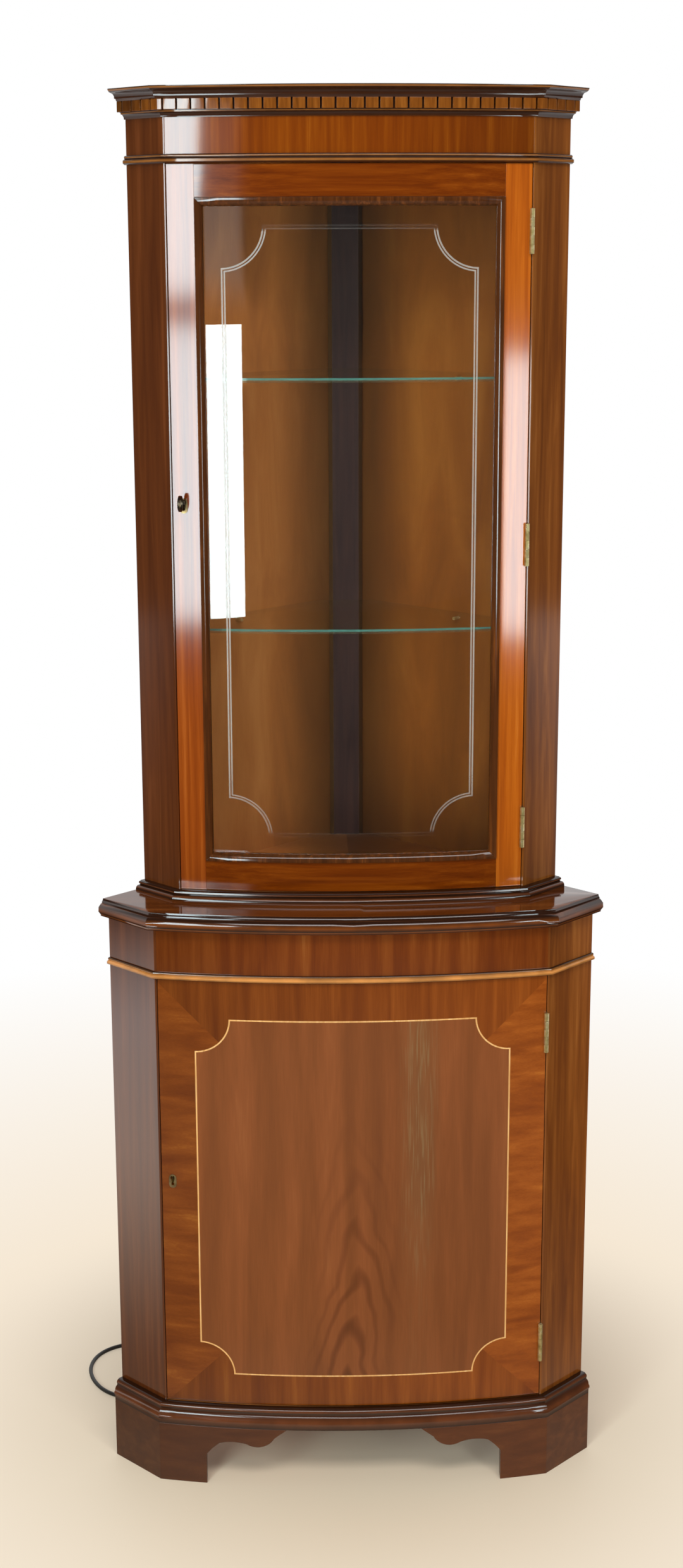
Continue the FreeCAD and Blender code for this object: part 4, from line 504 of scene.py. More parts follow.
# Posts. The strip across each back corner is softwood, stained nearly black with a trace of purple.
# Wax from the veneer beside it has browned its two long edges.
POST_BLACK = [(0.0, "#271614"), (1.0, "#3D2620")]
POST_EDGE_BROWN = "#573A1F"
POST_BLACK_HALF_MM = 18
POST_BROWN_HALF_MM = 20
post_material, tree = new_material("black_stained_post")
colour, _ = grain(tree, "Z", figure_mm=8, stretch=20, stops=POST_BLACK)
side = add(tree, "SeparateXYZ", Vector=add(tree, "TexCoord").outputs["Object"]).outputs["X"]
from_middle = add(tree, "Math", {"operation": "ABSOLUTE"}, i0=side).outputs[0]
browned = add(tree, "MapRange", SMOOTH, Value=from_middle, From_Min=POST_BLACK_HALF_MM * MM,
              From_Max=POST_BROWN_HALF_MM * MM).outputs["Result"]
colour = add(tree, "Mix", COLOURS, i0=browned, i6=colour, i7=linear(POST_EDGE_BROWN)).outputs[2]
post = add(tree, "BsdfPrincipled", Base_Color=colour, Roughness=0.5, IOR=LACQUER_IOR,
           Specular_IOR_Level=0.1)
add(tree, "OutputMaterial", Surface=post.outputs["BSDF"])
paint(["lower_post", "upper_post"], post_material)


# Upper door frame. Two stiles with upright grain stand between rails with level grain, cut from
# straight-grained mahogany and butted square. A painted sheen of light makes the right stile
# lighter and more orange than the left.
LEFT_STILE_BROWN = [(0.0, "#682A08"), (0.4, "#80370A"), (0.7, "#8F420E"), (1.0, "#A1521A")]
LIT_RIGHT_STILE_BROWN = [(0.0, "#8E400C"), (0.4, "#A6500E"), (0.7, "#B65E14"), (1.0, "#C8742A")]
RAIL_BROWN = [(0.0, "#542002"), (0.4, "#682A02"), (0.7, "#773504"), (1.0, "#8C460C")]
FRAME_WOODS = {"left_stile": ("Z", 45, LEFT_STILE_BROWN, 0.1, ["door_stile_left"]),
               "lit_right_stile": ("Z", 45, LIT_RIGHT_STILE_BROWN, 0.1, ["door_stile_right"]),
               "rails": ("X", 40, RAIL_BROWN, 0.0, ["door_rail_top", "door_rail_bottom"])}
for place_name, (axis, stretch, stops, ribbon, names) in FRAME_WOODS.items():
    wood_name = "straight_mahogany_" + place_name + "_lacquered"
    paint(names, lacquered_wood(wood_name, axis, figure_mm=7, stretch=stretch, stops=stops,
                                wander=0.2, ribbon=ribbon))
    ease_arrises(names, width_mm=0.8)


# Glazing bead and fillets. A dark, polished mahogany bead laps the frame all round the glass, and
# plain fillets hold the pane from behind.
BEAD_BROWN = [(0.0, "#341A08"), (0.6, "#50290F"), (1.0, "#7C431A")]
GLAZING = ["glazing_bead", "glass_fillets"]
paint(GLAZING, lacquered_wood("dark_glazing_bead_lacquered", "Z", figure_mm=6, stretch=20,
                              stops=BEAD_BROWN))
ease_arrises(GLAZING, width_mm=0.3)


# Pane. Clear float glass, 4 mm thick and bent to the door's bow. It hardly tints what is behind it
# and shows mostly as clean reflections. Light passes it, so it throws no shadow on the inside.
GLASS_IOR = 1.52
pane_material, tree = new_material("bent_clear_float_glass")
pane = add(tree, "BsdfPrincipled", Base_Color=linear("#F0F4F0"), Roughness=0.0, IOR=GLASS_IOR,
           Transmission_Weight=1.0)
add(tree, "OutputMaterial", Surface=pane.outputs["BSDF"])
paint(["glass_pane"], pane_material)
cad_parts["glass_pane"].visible_shadow = False


# Engraved line. A double line is wheel-cut into the face of the pane and left matt: a rectangle
# with its corners turned in as quarter rounds. Its level runs are painted almost clear and its
# upright runs and corners brighter, a painted reflection of light from the sides, and all of it
# grows fainter towards the bottom.
LINE_HALF_WIDTH = 167.0
LINE_BOTTOM_Z = 941.0
LINE_TOP_Z = 1755.0
LINE_CORNER = 54.0
LINE_STROKES = ((0.0, 2.2), (3.6, 2.0))  # how far in each stroke starts, and its width
LINE_PROUD = 0.12
LINE_CORNER_STEPS = 12
LINE_SIDE_STEPS = 24
LEVEL_RUN_MM = 9.0
LIT_STROKE_ALPHA = 0.46
DIM_LEVEL_RUN_ALPHA = 0.03
BOTTOM_SHARE = 0.35


def bow_of(name):
    """Centre (its Y) and radius, in metres, of the front arc that a bowed CAD node follows."""
    places = {(round(v.co.x, 6), round(v.co.y, 6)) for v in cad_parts[name].data.vertices}
    edge_x = max(x for x, _ in places)
    edge_y = min(y for x, y in places if x > edge_x - 0.1 * MM)
    front_y = min(y for _, y in places)
    rise = edge_y - front_y
    radius = (edge_x ** 2 + rise ** 2) / (2 * rise)
    return front_y + radius, radius


def turned_in_outline(inset):
    """Closed outline of the line in (x, z) millimetres, moved inwards by an inset."""
    reach = LINE_CORNER + inset
    start = math.asin(inset / reach)
    points = []
    for sx, sz in ((1, 1), (-1, 1), (-1, -1), (1, -1)):
        corner = (sx * LINE_HALF_WIDTH, LINE_TOP_Z if sz > 0 else LINE_BOTTOM_Z)
        arc = []
        for step in range(LINE_CORNER_STEPS + 1):
            angle = start + (math.pi / 2 - 2 * start) * step / LINE_CORNER_STEPS
            arc.append((corner[0] - sx * reach * math.sin(angle),
                        corner[1] - sz * reach * math.cos(angle)))
        points.extend(arc if sx == sz else arc[::-1])
    filled = []
    for index, (x, z) in enumerate(points):
        next_x, next_z = points[(index + 1) % len(points)]
        filled.append((x, z))
        if abs(next_x - x) > LINE_CORNER or abs(next_z - z) > LINE_CORNER:
            for step in range(1, LINE_SIDE_STEPS):
                share = step / LINE_SIDE_STEPS
                filled.append((x + (next_x - x) * share, z + (next_z - z) * share))
    return filled


glass_centre_y, glass_radius = bow_of("glass_pane")
line_mesh = bmesh.new()
for inset, width in LINE_STROKES:
    rims = []
    for rim_inset in (inset, inset + width):
        rim = []
        for x, z in turned_in_outline(rim_inset):
            x, z = x * MM, z * MM
            y = glass_centre_y - math.sqrt(glass_radius ** 2 - x ** 2) - LINE_PROUD * MM
            rim.append(line_mesh.verts.new((x, y, z)))
        rims.append(rim)
    skin(line_mesh, *rims)
bmesh.ops.recalc_face_normals(line_mesh, faces=line_mesh.faces)
engraved_line = mesh_object("engraved_line", line_mesh)
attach(engraved_line, "upper_door")
engraved_line.visible_shadow = False
engraved_glass, tree = new_material("wheel_cut_matt_glass")
place = add(tree, "TexCoord").outputs["Object"]
grind = add(tree, "TexNoise", Vector=place, Scale=1 / (0.5 * MM), Detail=1.0).outputs["Fac"]
colour = add(tree, "ValToRGB", stops=[(0.3, "#B9B4AC"), (0.7, "#D4D0CA")],
             Fac=grind).outputs["Color"]
height = add(tree, "SeparateXYZ", Vector=place).outputs["Z"]
line_middle = (LINE_TOP_Z + LINE_BOTTOM_Z) / 2
line_reach = (LINE_TOP_Z - LINE_BOTTOM_Z) / 2
from_middle = add(tree, "Math", {"operation": "SUBTRACT"}, i0=height,
                  i1=line_middle * MM).outputs[0]
from_middle = add(tree, "Math", {"operation": "ABSOLUTE"}, i0=from_middle).outputs[0]
# Painted reflection: the level runs are nearly clear, the upright runs and corners bright.
depth = add(tree, "MapRange", Value=from_middle, From_Min=(line_reach - LEVEL_RUN_MM) * MM,
            From_Max=(line_reach - LEVEL_RUN_MM / 2) * MM, To_Min=LIT_STROKE_ALPHA,
            To_Max=DIM_LEVEL_RUN_ALPHA).outputs["Result"]
faint = add(tree, "MapRange", Value=height, From_Min=LINE_BOTTOM_Z * MM,
            From_Max=(LINE_BOTTOM_Z + 2 * LINE_CORNER) * MM, To_Min=BOTTOM_SHARE,
            To_Max=1.0).outputs["Result"]
depth = add(tree, "Math", {"operation": "MULTIPLY"}, i0=depth, i1=faint).outputs[0]
cut_glass = add(tree, "BsdfPrincipled", Base_Color=colour, Roughness=0.35, IOR=GLASS_IOR,
                Alpha=depth)
add(tree, "OutputMaterial", Surface=cut_glass.outputs["BSDF"])
engraved_line.data.materials.append(engraved_glass)


# Glass shelves. Two loose plates of 6 mm float glass with ground edges. Their faces are almost
# invisible. The front edge gathers the glass's green along its upper half, the back edges hardly.
GLASS_SHELVES = ["glass_shelf_lower", "glass_shelf_upper"]
EDGE_STOPS = [(0.0, "#5A4424"), (1.0, "#48746A")]
shelf_material, tree = new_material("float_glass_green_edge")
surface = add(tree, "NewGeometry")
facing = add(tree, "SeparateXYZ", Vector=surface.outputs["True Normal"]).outputs["Y"]
in_front = add(tree, "MapRange", Value=facing, From_Min=-0.7, From_Max=-0.4, To_Min=1.0,
               To_Max=0.0).outputs["Result"]
in_front = add(tree, "Math", {"operation": "SUBTRACT", "use_clamp": True}, i0=in_front,
               i1=surface.outputs["Backfacing"]).outputs[0]
depth = add(tree, "SeparateXYZ", Vector=add(tree, "TexCoord").outputs["Generated"]).outputs["Z"]
upper_half = add(tree, "MapRange", Value=depth, From_Min=0.35, From_Max=0.6, To_Min=0.25,
                 To_Max=1.0).outputs["Result"]
gathered = add(tree, "Math", {"operation": "MULTIPLY"}, i0=in_front, i1=upper_half).outputs[0]
colour = add(tree, "ValToRGB", stops=EDGE_STOPS, Fac=gathered).outputs["Color"]
clear = add(tree, "MapRange", Value=gathered, To_Min=0.1, To_Max=0.8).outputs["Result"]
plate = add(tree, "BsdfPrincipled", Base_Color=colour, Roughness=0.04, IOR=GLASS_IOR, Alpha=clear)
add(tree, "OutputMaterial", Surface=plate.outputs["BSDF"])
paint(GLASS_SHELVES, shelf_material)
for shelf_name in GLASS_SHELVES:
    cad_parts[shelf_name].visible_shadow = False


# Brass. Hinges, pegs and locks are machined or pressed brass, polished once and since gone a little
# brown in patches. The keyhole plates are thinner, never polished again, and browner still.
TARNISH_MM = 9
BRASS_STOPS = [(0.3, "#A68E55"), (0.5, "#D0B97C"), (0.75, "#F0E2B4")]
PLATE_STOPS = [(0.3, "#6E5836"), (0.5, "#907850"), (0.75, "#B09A6C")]
BRASS_WORK = ["hinge_leaves_frame", "hinge_leaves_upper_door", "hinge_leaves_lower_door",
              "hinge_pins", "shelf_pegs", "upper_lock_case", "lower_lock_case", "upper_lock_bolt",
              "lower_lock_bolt"]
KEYHOLE_PLATES = ["upper_escutcheon", "lower_escutcheon"]
BRASSES = {"browned_plate_brass": (PLATE_STOPS, 0.38, KEYHOLE_PLATES),
           "aged_polished_brass": (BRASS_STOPS, 0.24, BRASS_WORK)}
for brass_name, (stops, smoothest, names) in BRASSES.items():
    brass, tree = new_material(brass_name)
    place = add(tree, "TexCoord").outputs["Object"]
    tarnish = add(tree, "TexNoise", Vector=place, Scale=1 / (TARNISH_MM * MM),
                  Detail=4.0).outputs["Fac"]
    colour = add(tree, "ValToRGB", stops=stops, Fac=tarnish).outputs["Color"]
    rough = add(tree, "MapRange", Value=tarnish, From_Min=0.3, From_Max=0.7, To_Min=0.42,
                To_Max=smoothest).outputs["Result"]
    metal = add(tree, "BsdfPrincipled", Base_Color=colour, Metallic=0.8, Roughness=rough)
    add(tree, "OutputMaterial", Surface=metal.outputs["BSDF"])
    paint(names, brass)
    ease_arrises(names, width_mm=0.2)


# Hinge screws. Each leaf is held by two slotted brass screws with their heads let in flush. They
# show only while a door stands open.
SCREW_HEAD_RADIUS = 2.6
SCREW_SLOT_WIDTH = 0.7
SCREW_SLOT_DEPTH = 0.5
SCREW_PROUD = 0.15
SCREW_SPREAD = 17.0
SCREW_STEPS = 10
SCREW_TURN = 1.1  # radians from one slot to the next, because nobody lines them up
LEAF_FACE_OFFSET = 0.5
# Where a door's hinge axis is from side to side, where its screws are in depth, and the middle of
# each hinge.
UPPER_HINGES = (235.54, -96.1, (949.96, 1340.03, 1746.02))
LOWER_HINGES = (267.47, -159.5, (204.01, 673.02))
SCREW_SETS = {"upper_door_hinge_screws": ("upper_door", -1, UPPER_HINGES),
              "upper_frame_hinge_screws": ("cabinet", 1, UPPER_HINGES),
              "lower_door_hinge_screws": ("lower_door", -1, LOWER_HINGES),
              "lower_frame_hinge_screws": ("cabinet", 1, LOWER_HINGES)}
slot_edge = math.asin(SCREW_SLOT_WIDTH / 2 / SCREW_HEAD_RADIUS)
half_head = math.pi - 2 * slot_edge
for screws_name, (body, leaf_side, (axis_x, screw_y, middles)) in SCREW_SETS.items():
    face_x = axis_x + leaf_side * LEAF_FACE_OFFSET
    top_x = face_x - leaf_side * SCREW_PROUD
    foot_x = face_x + leaf_side * SCREW_SLOT_DEPTH
    screws_mesh = bmesh.new()
    heads = [middle + offset for middle in middles for offset in (-SCREW_SPREAD, SCREW_SPREAD)]
    for turn, screw_z in enumerate(heads):
        for half in (0, math.pi):
            top, foot = [], []
            for step in range(SCREW_STEPS + 1):
                angle = half + slot_edge + half_head * step / SCREW_STEPS + turn * SCREW_TURN
                y = screw_y + SCREW_HEAD_RADIUS * math.cos(angle)
                z = screw_z + SCREW_HEAD_RADIUS * math.sin(angle)
                top.append(screws_mesh.verts.new((top_x * MM, y * MM, z * MM)))
                foot.append(screws_mesh.verts.new((foot_x * MM, y * MM, z * MM)))
            screws_mesh.faces.new(top)
            screws_mesh.faces.new(foot[::-1])
            skin(screws_mesh, top, foot)
    bmesh.ops.recalc_face_normals(screws_mesh, faces=screws_mesh.faces)
    screws = mesh_object(screws_name, screws_mesh)
    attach(screws, body)
    screws.data.materials.append(bpy.data.materials["aged_polished_brass"])


# Key. A cast steel key, plated and since gone dull, browned by hands, with a ring bow, two collars
# and a plain bit.
KEY_STOPS = [(0.3, "#2E2823"), (0.6, "#5A4C3C"), (0.8, "#8A7A62")]
key_metal, tree = new_material("dull_plated_key_steel")
place = add(tree, "TexCoord").outputs["Object"]
handling = add(tree, "TexNoise", Vector=place, Scale=1 / (5 * MM), Detail=4.0).outputs["Fac"]
colour = add(tree, "ValToRGB", stops=KEY_STOPS, Fac=handling).outputs["Color"]
plated = add(tree, "BsdfPrincipled", Base_Color=colour, Metallic=1.0, Roughness=0.38)
add(tree, "OutputMaterial", Surface=plated.outputs["BSDF"])
paint(["upper_key"], key_metal)
ease_arrises(["upper_key"], width_mm=0.3)


# Lamp. A white urea batten holder under the top board carries a small tubular bulb, and the flex
# is held down the back by white saddle clips.
UREA_STOPS = [(0.3, "#E4DFD0"), (0.7, "#F0ECE2")]
LAMP_MOULDINGS = ["lamp_holder", "cable_clips"]
lamp_plastic, tree = new_material("moulded_white_urea")
place = add(tree, "TexCoord").outputs["Object"]
yellowing = add(tree, "TexNoise", Vector=place, Scale=1 / (30 * MM), Detail=2.0).outputs["Fac"]
colour = add(tree, "ValToRGB", stops=UREA_STOPS, Fac=yellowing).outputs["Color"]
holder = add(tree, "BsdfPrincipled", Base_Color=colour, Roughness=0.3, IOR=1.5)
add(tree, "OutputMaterial", Surface=holder.outputs["BSDF"])
paint(LAMP_MOULDINGS, lamp_plastic)
ease_arrises(LAMP_MOULDINGS, width_mm=0.8)
bulb_glass, tree = new_material("frosted_bulb_glass")
bulb = add(tree, "BsdfPrincipled", Base_Color=linear("#F2EFE8"), Roughness=0.5, IOR=1.5,
           Subsurface_Weight=0.2)
add(tree, "OutputMaterial", Surface=bulb.outputs["BSDF"])
paint(["lamp_bulb"], bulb_glass)
ease_arrises(["lamp_bulb"], width_mm=0.3)
paint(["lamp_lead", "mains_plug"], pvc)
ease_arrises(["mains_plug"], width_mm=1.0)


# Cupboard door. One bowed panel, veneered in three ways: crown-cut mahogany in the field, and a
# crossband all round outside the boxwood line, mitred at the corners, its grain across the band. A
# flecked streak runs down the field, right of the middle. The inside face has one plain veneer.
FIELD_BROWN = [(0.0, "#683719"), (0.4, "#78411D"), (0.7, "#864923"), (1.0, "#965A30")]
BAND_BROWN = [(0.0, "#75330A"), (0.4, "#8A420E"), (0.7, "#9C4F15"), (1.0, "#B56720")]
# Painted shade: the crossband darkens towards the left, its top and bottom leaves more than its
# sides.
BAND_PAINTED_SHADE = (-260, 260, 0.6, 1.0)
END_PAINTED_SHADE = (-260, 260, 0.5, 0.85)
door_veneer, tree = new_material("crossbanded_mahogany_veneer_lacquered")
upright_colour, pores = grain(tree, "Z", figure_mm=45, stretch=12, stops=FIELD_BROWN, wander=0.4)
level_colour, _ = grain(tree, "X", figure_mm=18, stretch=20, stops=BAND_BROWN, wander=0.3,
                        painted_shading=BAND_PAINTED_SHADE)
end_colour, _ = grain(tree, "Z", figure_mm=18, stretch=20, stops=BAND_BROWN, wander=0.3,
                      painted_shading=END_PAINTED_SHADE)
place = add(tree, "TexCoord").outputs["Object"]
parts = add(tree, "SeparateXYZ", Vector=place)

# The crown figure: arches about the middle of the field, darkest at its foot and gone at its top.
CROWN_BROWN = "#6A3A20"
CROWN_SPACING_MM = 76
CROWN_RISE = 10.0
CROWN_POWER = 1.4
CROWN_WANDER_MM = 40
CROWN_HALF_WIDTH_MM = 78
CROWN_FULL_MM = 160
CROWN_TOP_MM = 640
wander = add(tree, "TexNoise", Vector=place, Scale=1 / (120 * MM), Detail=2.0).outputs["Fac"]
shift = add(tree, "MapRange", Value=wander, To_Min=-CROWN_WANDER_MM * MM,
            To_Max=CROWN_WANDER_MM * MM).outputs["Result"]
side_reach = add(tree, "Math", {"operation": "ADD"}, i0=parts.outputs["X"], i1=shift).outputs[0]
side_reach = add(tree, "Math", {"operation": "ABSOLUTE"}, i0=side_reach).outputs[0]
side_power = add(tree, "Math", {"operation": "POWER"}, i0=side_reach, i1=CROWN_POWER).outputs[0]
arch = add(tree, "Math", {"operation": "MULTIPLY_ADD"}, i0=side_power, i1=CROWN_RISE,
           i2=parts.outputs["Z"]).outputs[0]
arch = add(tree, "Math", {"operation": "MULTIPLY"}, i0=arch,
           i1=2 * math.pi / (CROWN_SPACING_MM * MM)).outputs[0]
arch = add(tree, "Math", {"operation": "SINE"}, i0=arch).outputs[0]
in_width = add(tree, "MapRange", SMOOTH, Value=side_reach, From_Max=CROWN_HALF_WIDTH_MM * MM,
               To_Min=1.0, To_Max=0.0).outputs["Result"]
in_height = add(tree, "MapRange", SMOOTH, Value=parts.outputs["Z"], From_Min=CROWN_FULL_MM * MM,
                From_Max=CROWN_TOP_MM * MM, To_Min=1.0, To_Max=0.0).outputs["Result"]
crown = arch
for share in (in_width, in_height):
    crown = add(tree, "Math", {"operation": "MULTIPLY"}, i0=crown, i1=share).outputs[0]
crown = add(tree, "MapRange", Value=crown, To_Max=0.5).outputs["Result"]
field_colour = add(tree, "Mix", {"data_type": "RGBA", "blend_type": "MULTIPLY"}, i0=crown,
                   i6=upright_colour, i7=linear(CROWN_BROWN)).outputs[2]

# The flecked streak: short, fine, pale grey threads, fewer towards the foot of the door.
FLECK_GREY = "#8A7650"
FLECK_MM = 2.2
FLECK_STRETCH = 28
STREAK_MIDDLE_MM = 92
STREAK_HALF_WIDTH_MM = 34
STREAK_FAINT_MM = 250
STREAK_FULL_MM = 500
from_streak = add(tree, "Math", {"operation": "SUBTRACT"}, i0=parts.outputs["X"],
                  i1=STREAK_MIDDLE_MM * MM).outputs[0]
from_streak = add(tree, "Math", {"operation": "ABSOLUTE"}, i0=from_streak).outputs[0]
in_streak = add(tree, "MapRange", SMOOTH, Value=from_streak, From_Max=STREAK_HALF_WIDTH_MM * MM,
                To_Min=1.0, To_Max=0.0).outputs["Result"]
up_streak = add(tree, "MapRange", SMOOTH, Value=parts.outputs["Z"], From_Min=STREAK_FAINT_MM * MM,
                From_Max=STREAK_FULL_MM * MM, To_Min=0.12, To_Max=1.0).outputs["Result"]
thin_place = add(tree, "VectorMath", {"operation": "MULTIPLY"}, i0=place,
                 i1=(1.0, 1.0, 1 / FLECK_STRETCH)).outputs["Vector"]
fleck = add(tree, "TexNoise", Vector=thin_place, Scale=1 / (FLECK_MM * MM),
            Detail=2.0).outputs["Fac"]
fleck = add(tree, "MapRange", Value=fleck, From_Min=0.5, From_Max=0.66, To_Min=0.12,
            To_Max=0.5).outputs["Result"]
for share in (in_streak, up_streak):
    fleck = add(tree, "Math", {"operation": "MULTIPLY"}, i0=fleck, i1=share).outputs[0]
field_colour = add(tree, "Mix", COLOURS, i0=fleck, i6=field_colour,
                   i7=linear(FLECK_GREY)).outputs[2]

# The crossband: everything outside the boxwood line, which turns in round each corner. Its leaves
# meet on the diagonals.
INLAY_CORNER_MM = 47.5
line_low, line_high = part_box("lower_door_inlay")
x_reach = add(tree, "Math", {"operation": "ABSOLUTE"}, i0=parts.outputs["X"]).outputs[0]
beside = add(tree, "Math", {"operation": "SUBTRACT"}, i0=x_reach, i1=line_high.x).outputs[0]
above = add(tree, "Math", {"operation": "SUBTRACT"}, i0=parts.outputs["Z"],
            i1=line_high.z).outputs[0]
below = add(tree, "Math", {"operation": "SUBTRACT"}, i0=line_low.z,
            i1=parts.outputs["Z"]).outputs[0]
beyond = add(tree, "Math", {"operation": "MAXIMUM"}, i0=above, i1=below).outputs[0]
outside = add(tree, "Math", {"operation": "MAXIMUM"}, i0=beside, i1=beyond).outputs[0]
outside = add(tree, "Math", {"operation": "GREATER_THAN"}, i0=outside, i1=0.0).outputs[0]
corner = add(tree, "CombineXYZ", X=beside, Y=beyond).outputs["Vector"]
corner_reach = add(tree, "VectorMath", {"operation": "LENGTH"}, i0=corner).outputs["Value"]
in_corner = add(tree, "Math", {"operation": "LESS_THAN"}, i0=corner_reach,
                i1=INLAY_CORNER_MM * MM).outputs[0]
in_band = add(tree, "Math", {"operation": "MAXIMUM"}, i0=outside, i1=in_corner).outputs[0]
at_side = add(tree, "Math", {"operation": "GREATER_THAN"}, i0=beside, i1=beyond).outputs[0]
band_colour = add(tree, "Mix", COLOURS, i0=at_side, i6=end_colour, i7=level_colour).outputs[2]
colour = add(tree, "Mix", COLOURS, i0=in_band, i6=field_colour, i7=band_colour).outputs[2]
inward = add(tree, "SeparateXYZ", Vector=add(tree, "TexCoord").outputs["Normal"]).outputs["Y"]
inside_face = add(tree, "MapRange", Value=inward, From_Max=0.3).outputs["Result"]
colour = add(tree, "Mix", COLOURS, i0=inside_face, i6=colour, i7=upright_colour).outputs[2]
lacquered(tree, colour, pores, roughness=0.16, sheen=0.8)
paint(["lower_door_panel"], door_veneer)
ease_arrises(["lower_door_panel"], width_mm=0.8)


# Stringing. A 2 mm line of boxwood let flush into the veneer and lacquered over, pale yellow with
# the faintest grain.
BOXWOOD_YELLOW = [(0.0, "#CE9050"), (0.5, "#E5AC6A"), (1.0, "#F2C486")]
paint(["lower_door_inlay"], lacquered_wood("boxwood_stringing_lacquered", "Z", figure_mm=4,
                                           stretch=12, stops=BOXWOOD_YELLOW))


# Studio floor. Pale and plain. Near the cabinet it takes the shadow, and further out it fades to
# white for the camera and for what glass, metal and lacquer mirror. In front of the cabinet these
# mirror a dim floor with two lighter patches, as daylight leaves in a room.
FLOOR_SIZE = 16.0
FLOOR_CREAM = "#FFE8CA"
FLOOR_NEAR = 0.22
FLOOR_FAR = 0.78
PALE_STOPS = [(0.3, "#F6E8D4"), (0.9, "#FFFFFF")]
PALE_REACH = 2.5
DIM_FLOOR = 0.04
# Each patch's middle, its brightness, and how far from there it is full and gone, in metres.
MIRRORED_PATCHES = (((0.0, -1.2, 0.0), 0.34, 0.5, 2.2), ((-1.8, -0.1, 0.0), 2.3, 0.3, 1.5))
floor_mesh = bmesh.new()
bmesh.ops.create_grid(floor_mesh, x_segments=1, y_segments=1, size=FLOOR_SIZE / 2)
floor = mesh_object("studio_floor", floor_mesh)
floor_material, tree = new_material("pale_studio_floor")
place = add(tree, "TexCoord").outputs["Object"]
reach = add(tree, "VectorMath", {"operation": "LENGTH"}, i0=place).outputs["Value"]
fade = add(tree, "MapRange", SMOOTH, Value=reach, From_Min=FLOOR_NEAR,
           From_Max=FLOOR_FAR).outputs["Result"]
ray = add(tree, "LightPath")
from_camera = ray.outputs["Is Camera Ray"]
seen = from_camera
for kind in ("Is Transmission Ray", "Is Glossy Ray"):
    seen = add(tree, "Math", {"operation": "MAXIMUM"}, i0=seen, i1=ray.outputs[kind]).outputs[0]
fade = add(tree, "Math", {"operation": "MULTIPLY"}, i0=fade, i1=seen).outputs[0]
near = add(tree, "BsdfPrincipled", Base_Color=linear(FLOOR_CREAM), Roughness=0.55).outputs["BSDF"]
behind = add(tree, "SeparateXYZ", Vector=place).outputs["Y"]
brightness = add(tree, "MapRange", SMOOTH, Value=behind, From_Min=0.1, From_Max=0.9,
                 To_Min=DIM_FLOOR, To_Max=1.0).outputs["Result"]
for patch, light, full_to, gone_at in MIRRORED_PATCHES:
    away = add(tree, "VectorMath", {"operation": "DISTANCE"}, i0=place, i1=patch).outputs["Value"]
    patch_light = add(tree, "MapRange", SMOOTH, Value=away, From_Min=full_to, From_Max=gone_at,
                      To_Min=light, To_Max=0.0).outputs["Result"]
    brightness = add(tree, "Math", {"operation": "MAXIMUM"}, i0=brightness,
                     i1=patch_light).outputs[0]
brightness = add(tree, "Mix", i0=from_camera, i2=brightness, i3=1.0).outputs[0]
reach = add(tree, "MapRange", Value=reach, From_Max=PALE_REACH).outputs["Result"]
pale = add(tree, "ValToRGB", stops=PALE_STOPS, Fac=reach).outputs["Color"]
far = add(tree, "Emission", Color=pale, Strength=brightness).outputs["Emission"]
add(tree, "OutputMaterial", Surface=add(tree, "MixShader", i0=fade, i1=near, i2=far).outputs[0])
floor.data.materials.append(floor_material)


# Surround. White behind the object for the camera, and for what is seen through glass or mirrored
# in metal, glass and lacquer. The room on the camera's side is dim, so the lacquer stays deep.
DIM_ROOM = 0.06
AMBIENT = 0.32
world = bpy.data.worlds.new("white_surround")
bpy.context.scene.world = world
world.use_nodes = True
tree = world.node_tree
tree.nodes.clear()
heading = add(tree, "SeparateXYZ", Vector=add(tree, "TexCoord").outputs["Generated"]).outputs["Y"]
mirrored_light = add(tree, "MapRange", SMOOTH, Value=heading, From_Min=0.1, From_Max=0.6,
                     To_Min=DIM_ROOM, To_Max=1.0).outputs["Result"]
lights = []
for strength in (mirrored_light, AMBIENT, 1.0):
    light = add(tree, "Background", Color=linear("#FFFFFF"), Strength=strength)
    lights.append(light.outputs["Background"])
mirrored, ambient, white = lights
ray = add(tree, "LightPath")
shown = add(tree, "Math", {"operation": "MAXIMUM"}, i0=ray.outputs["Is Glossy Ray"],
            i1=ray.outputs["Is Transmission Ray"]).outputs[0]
unseen = add(tree, "MixShader", i0=shown, i1=ambient, i2=mirrored).outputs[0]
surround = add(tree, "MixShader", i0=ray.outputs["Is Camera Ray"], i1=unseen, i2=white).outputs[0]
add(tree, "OutputWorld", Surface=surround)


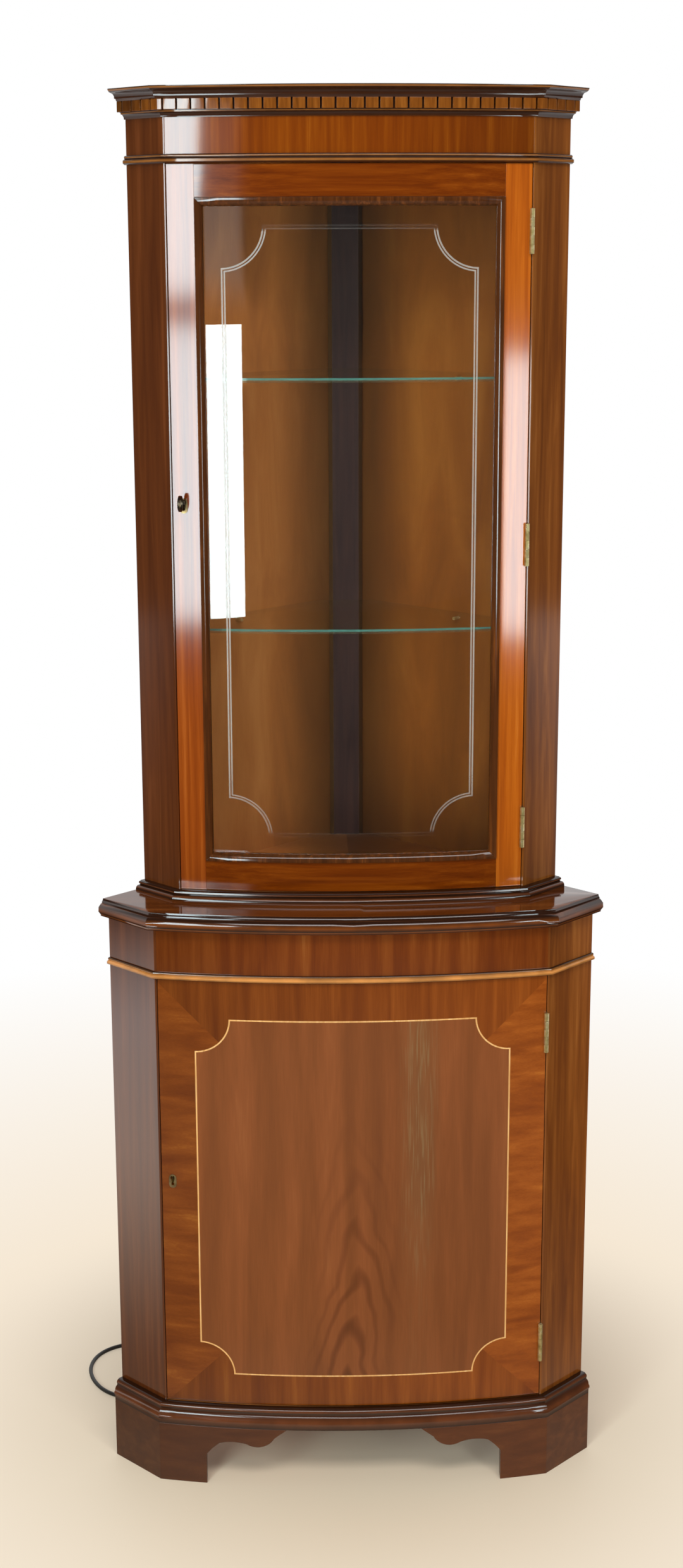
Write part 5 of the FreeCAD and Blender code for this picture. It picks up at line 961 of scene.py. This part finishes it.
# Lamps. Two panes of a window stand to the left of the camera, one above the other with a curtain
# beside the upper one, and a narrower pane to the right. They are what the bowed door mirrors down
# its stiles. A wide one fills from above.
WINDOW_Y = -2.4
UPRIGHT = 90
TIPPED_DOWN = 40
DAYLIGHT = (0.78, 0.95, 1.0)
ROOM_LIGHT = (1.0, 1.0, 1.0)
# Each lamp's x, z, width and height in metres, watts, colour, and tilt in degrees.
WINDOWS = {"window_upper_left": (-1.26, 1.98, 0.32, 0.7, 13.2, DAYLIGHT, UPRIGHT),
           "window_lower_left": (-1.1, 1.2, 0.64, 0.72, 25.0, DAYLIGHT, UPRIGHT),
           "window_curtain": (-0.92, 1.87, 0.4, 0.6, 0.55, ROOM_LIGHT, UPRIGHT),
           "window_right": (1.4, 1.13, 0.26, 0.7, 8.6, DAYLIGHT, UPRIGHT),
           "window_fill": (0.2, 3.3, 2.4, 0.9, 50.0, ROOM_LIGHT, TIPPED_DOWN)}
for window_name, (x, z, width, height, watts, colour, tilt) in WINDOWS.items():
    window_data = bpy.data.lights.new(window_name, "AREA")
    window_data.shape = "RECTANGLE"
    window_data.size = width
    window_data.size_y = height
    window_data.energy = watts
    window_data.color = colour
    window = bpy.data.objects.new(window_name, window_data)
    bpy.context.scene.collection.objects.link(window)
    window.location = (x, WINDOW_Y, z)
    window.rotation_euler = (math.radians(tilt), 0, math.atan2(x, -WINDOW_Y))

# The curtain's folds thin out towards its edges, so its reflection has no hard outline.
curtain = bpy.data.lights["window_curtain"]
curtain.use_nodes = True
tree = curtain.node_tree
tree.nodes.clear()
place = add(tree, "NewGeometry").outputs["Parametric"]
from_middle = add(tree, "VectorMath", {"operation": "SUBTRACT"}, i0=place,
                  i1=(0.5, 0.5, 0.0)).outputs["Vector"]
from_middle = add(tree, "VectorMath", {"operation": "ABSOLUTE"}, i0=from_middle).outputs["Vector"]
parts = add(tree, "SeparateXYZ", Vector=from_middle)
edge = add(tree, "Math", {"operation": "MAXIMUM"}, i0=parts.outputs["X"],
           i1=parts.outputs["Y"]).outputs[0]
folds = add(tree, "MapRange", SMOOTH, Value=edge, From_Min=0.25, From_Max=0.5, To_Min=1.0,
            To_Max=0.0).outputs["Result"]
add(tree, "OutputLight", Surface=add(tree, "Emission", Strength=folds).outputs["Emission"])
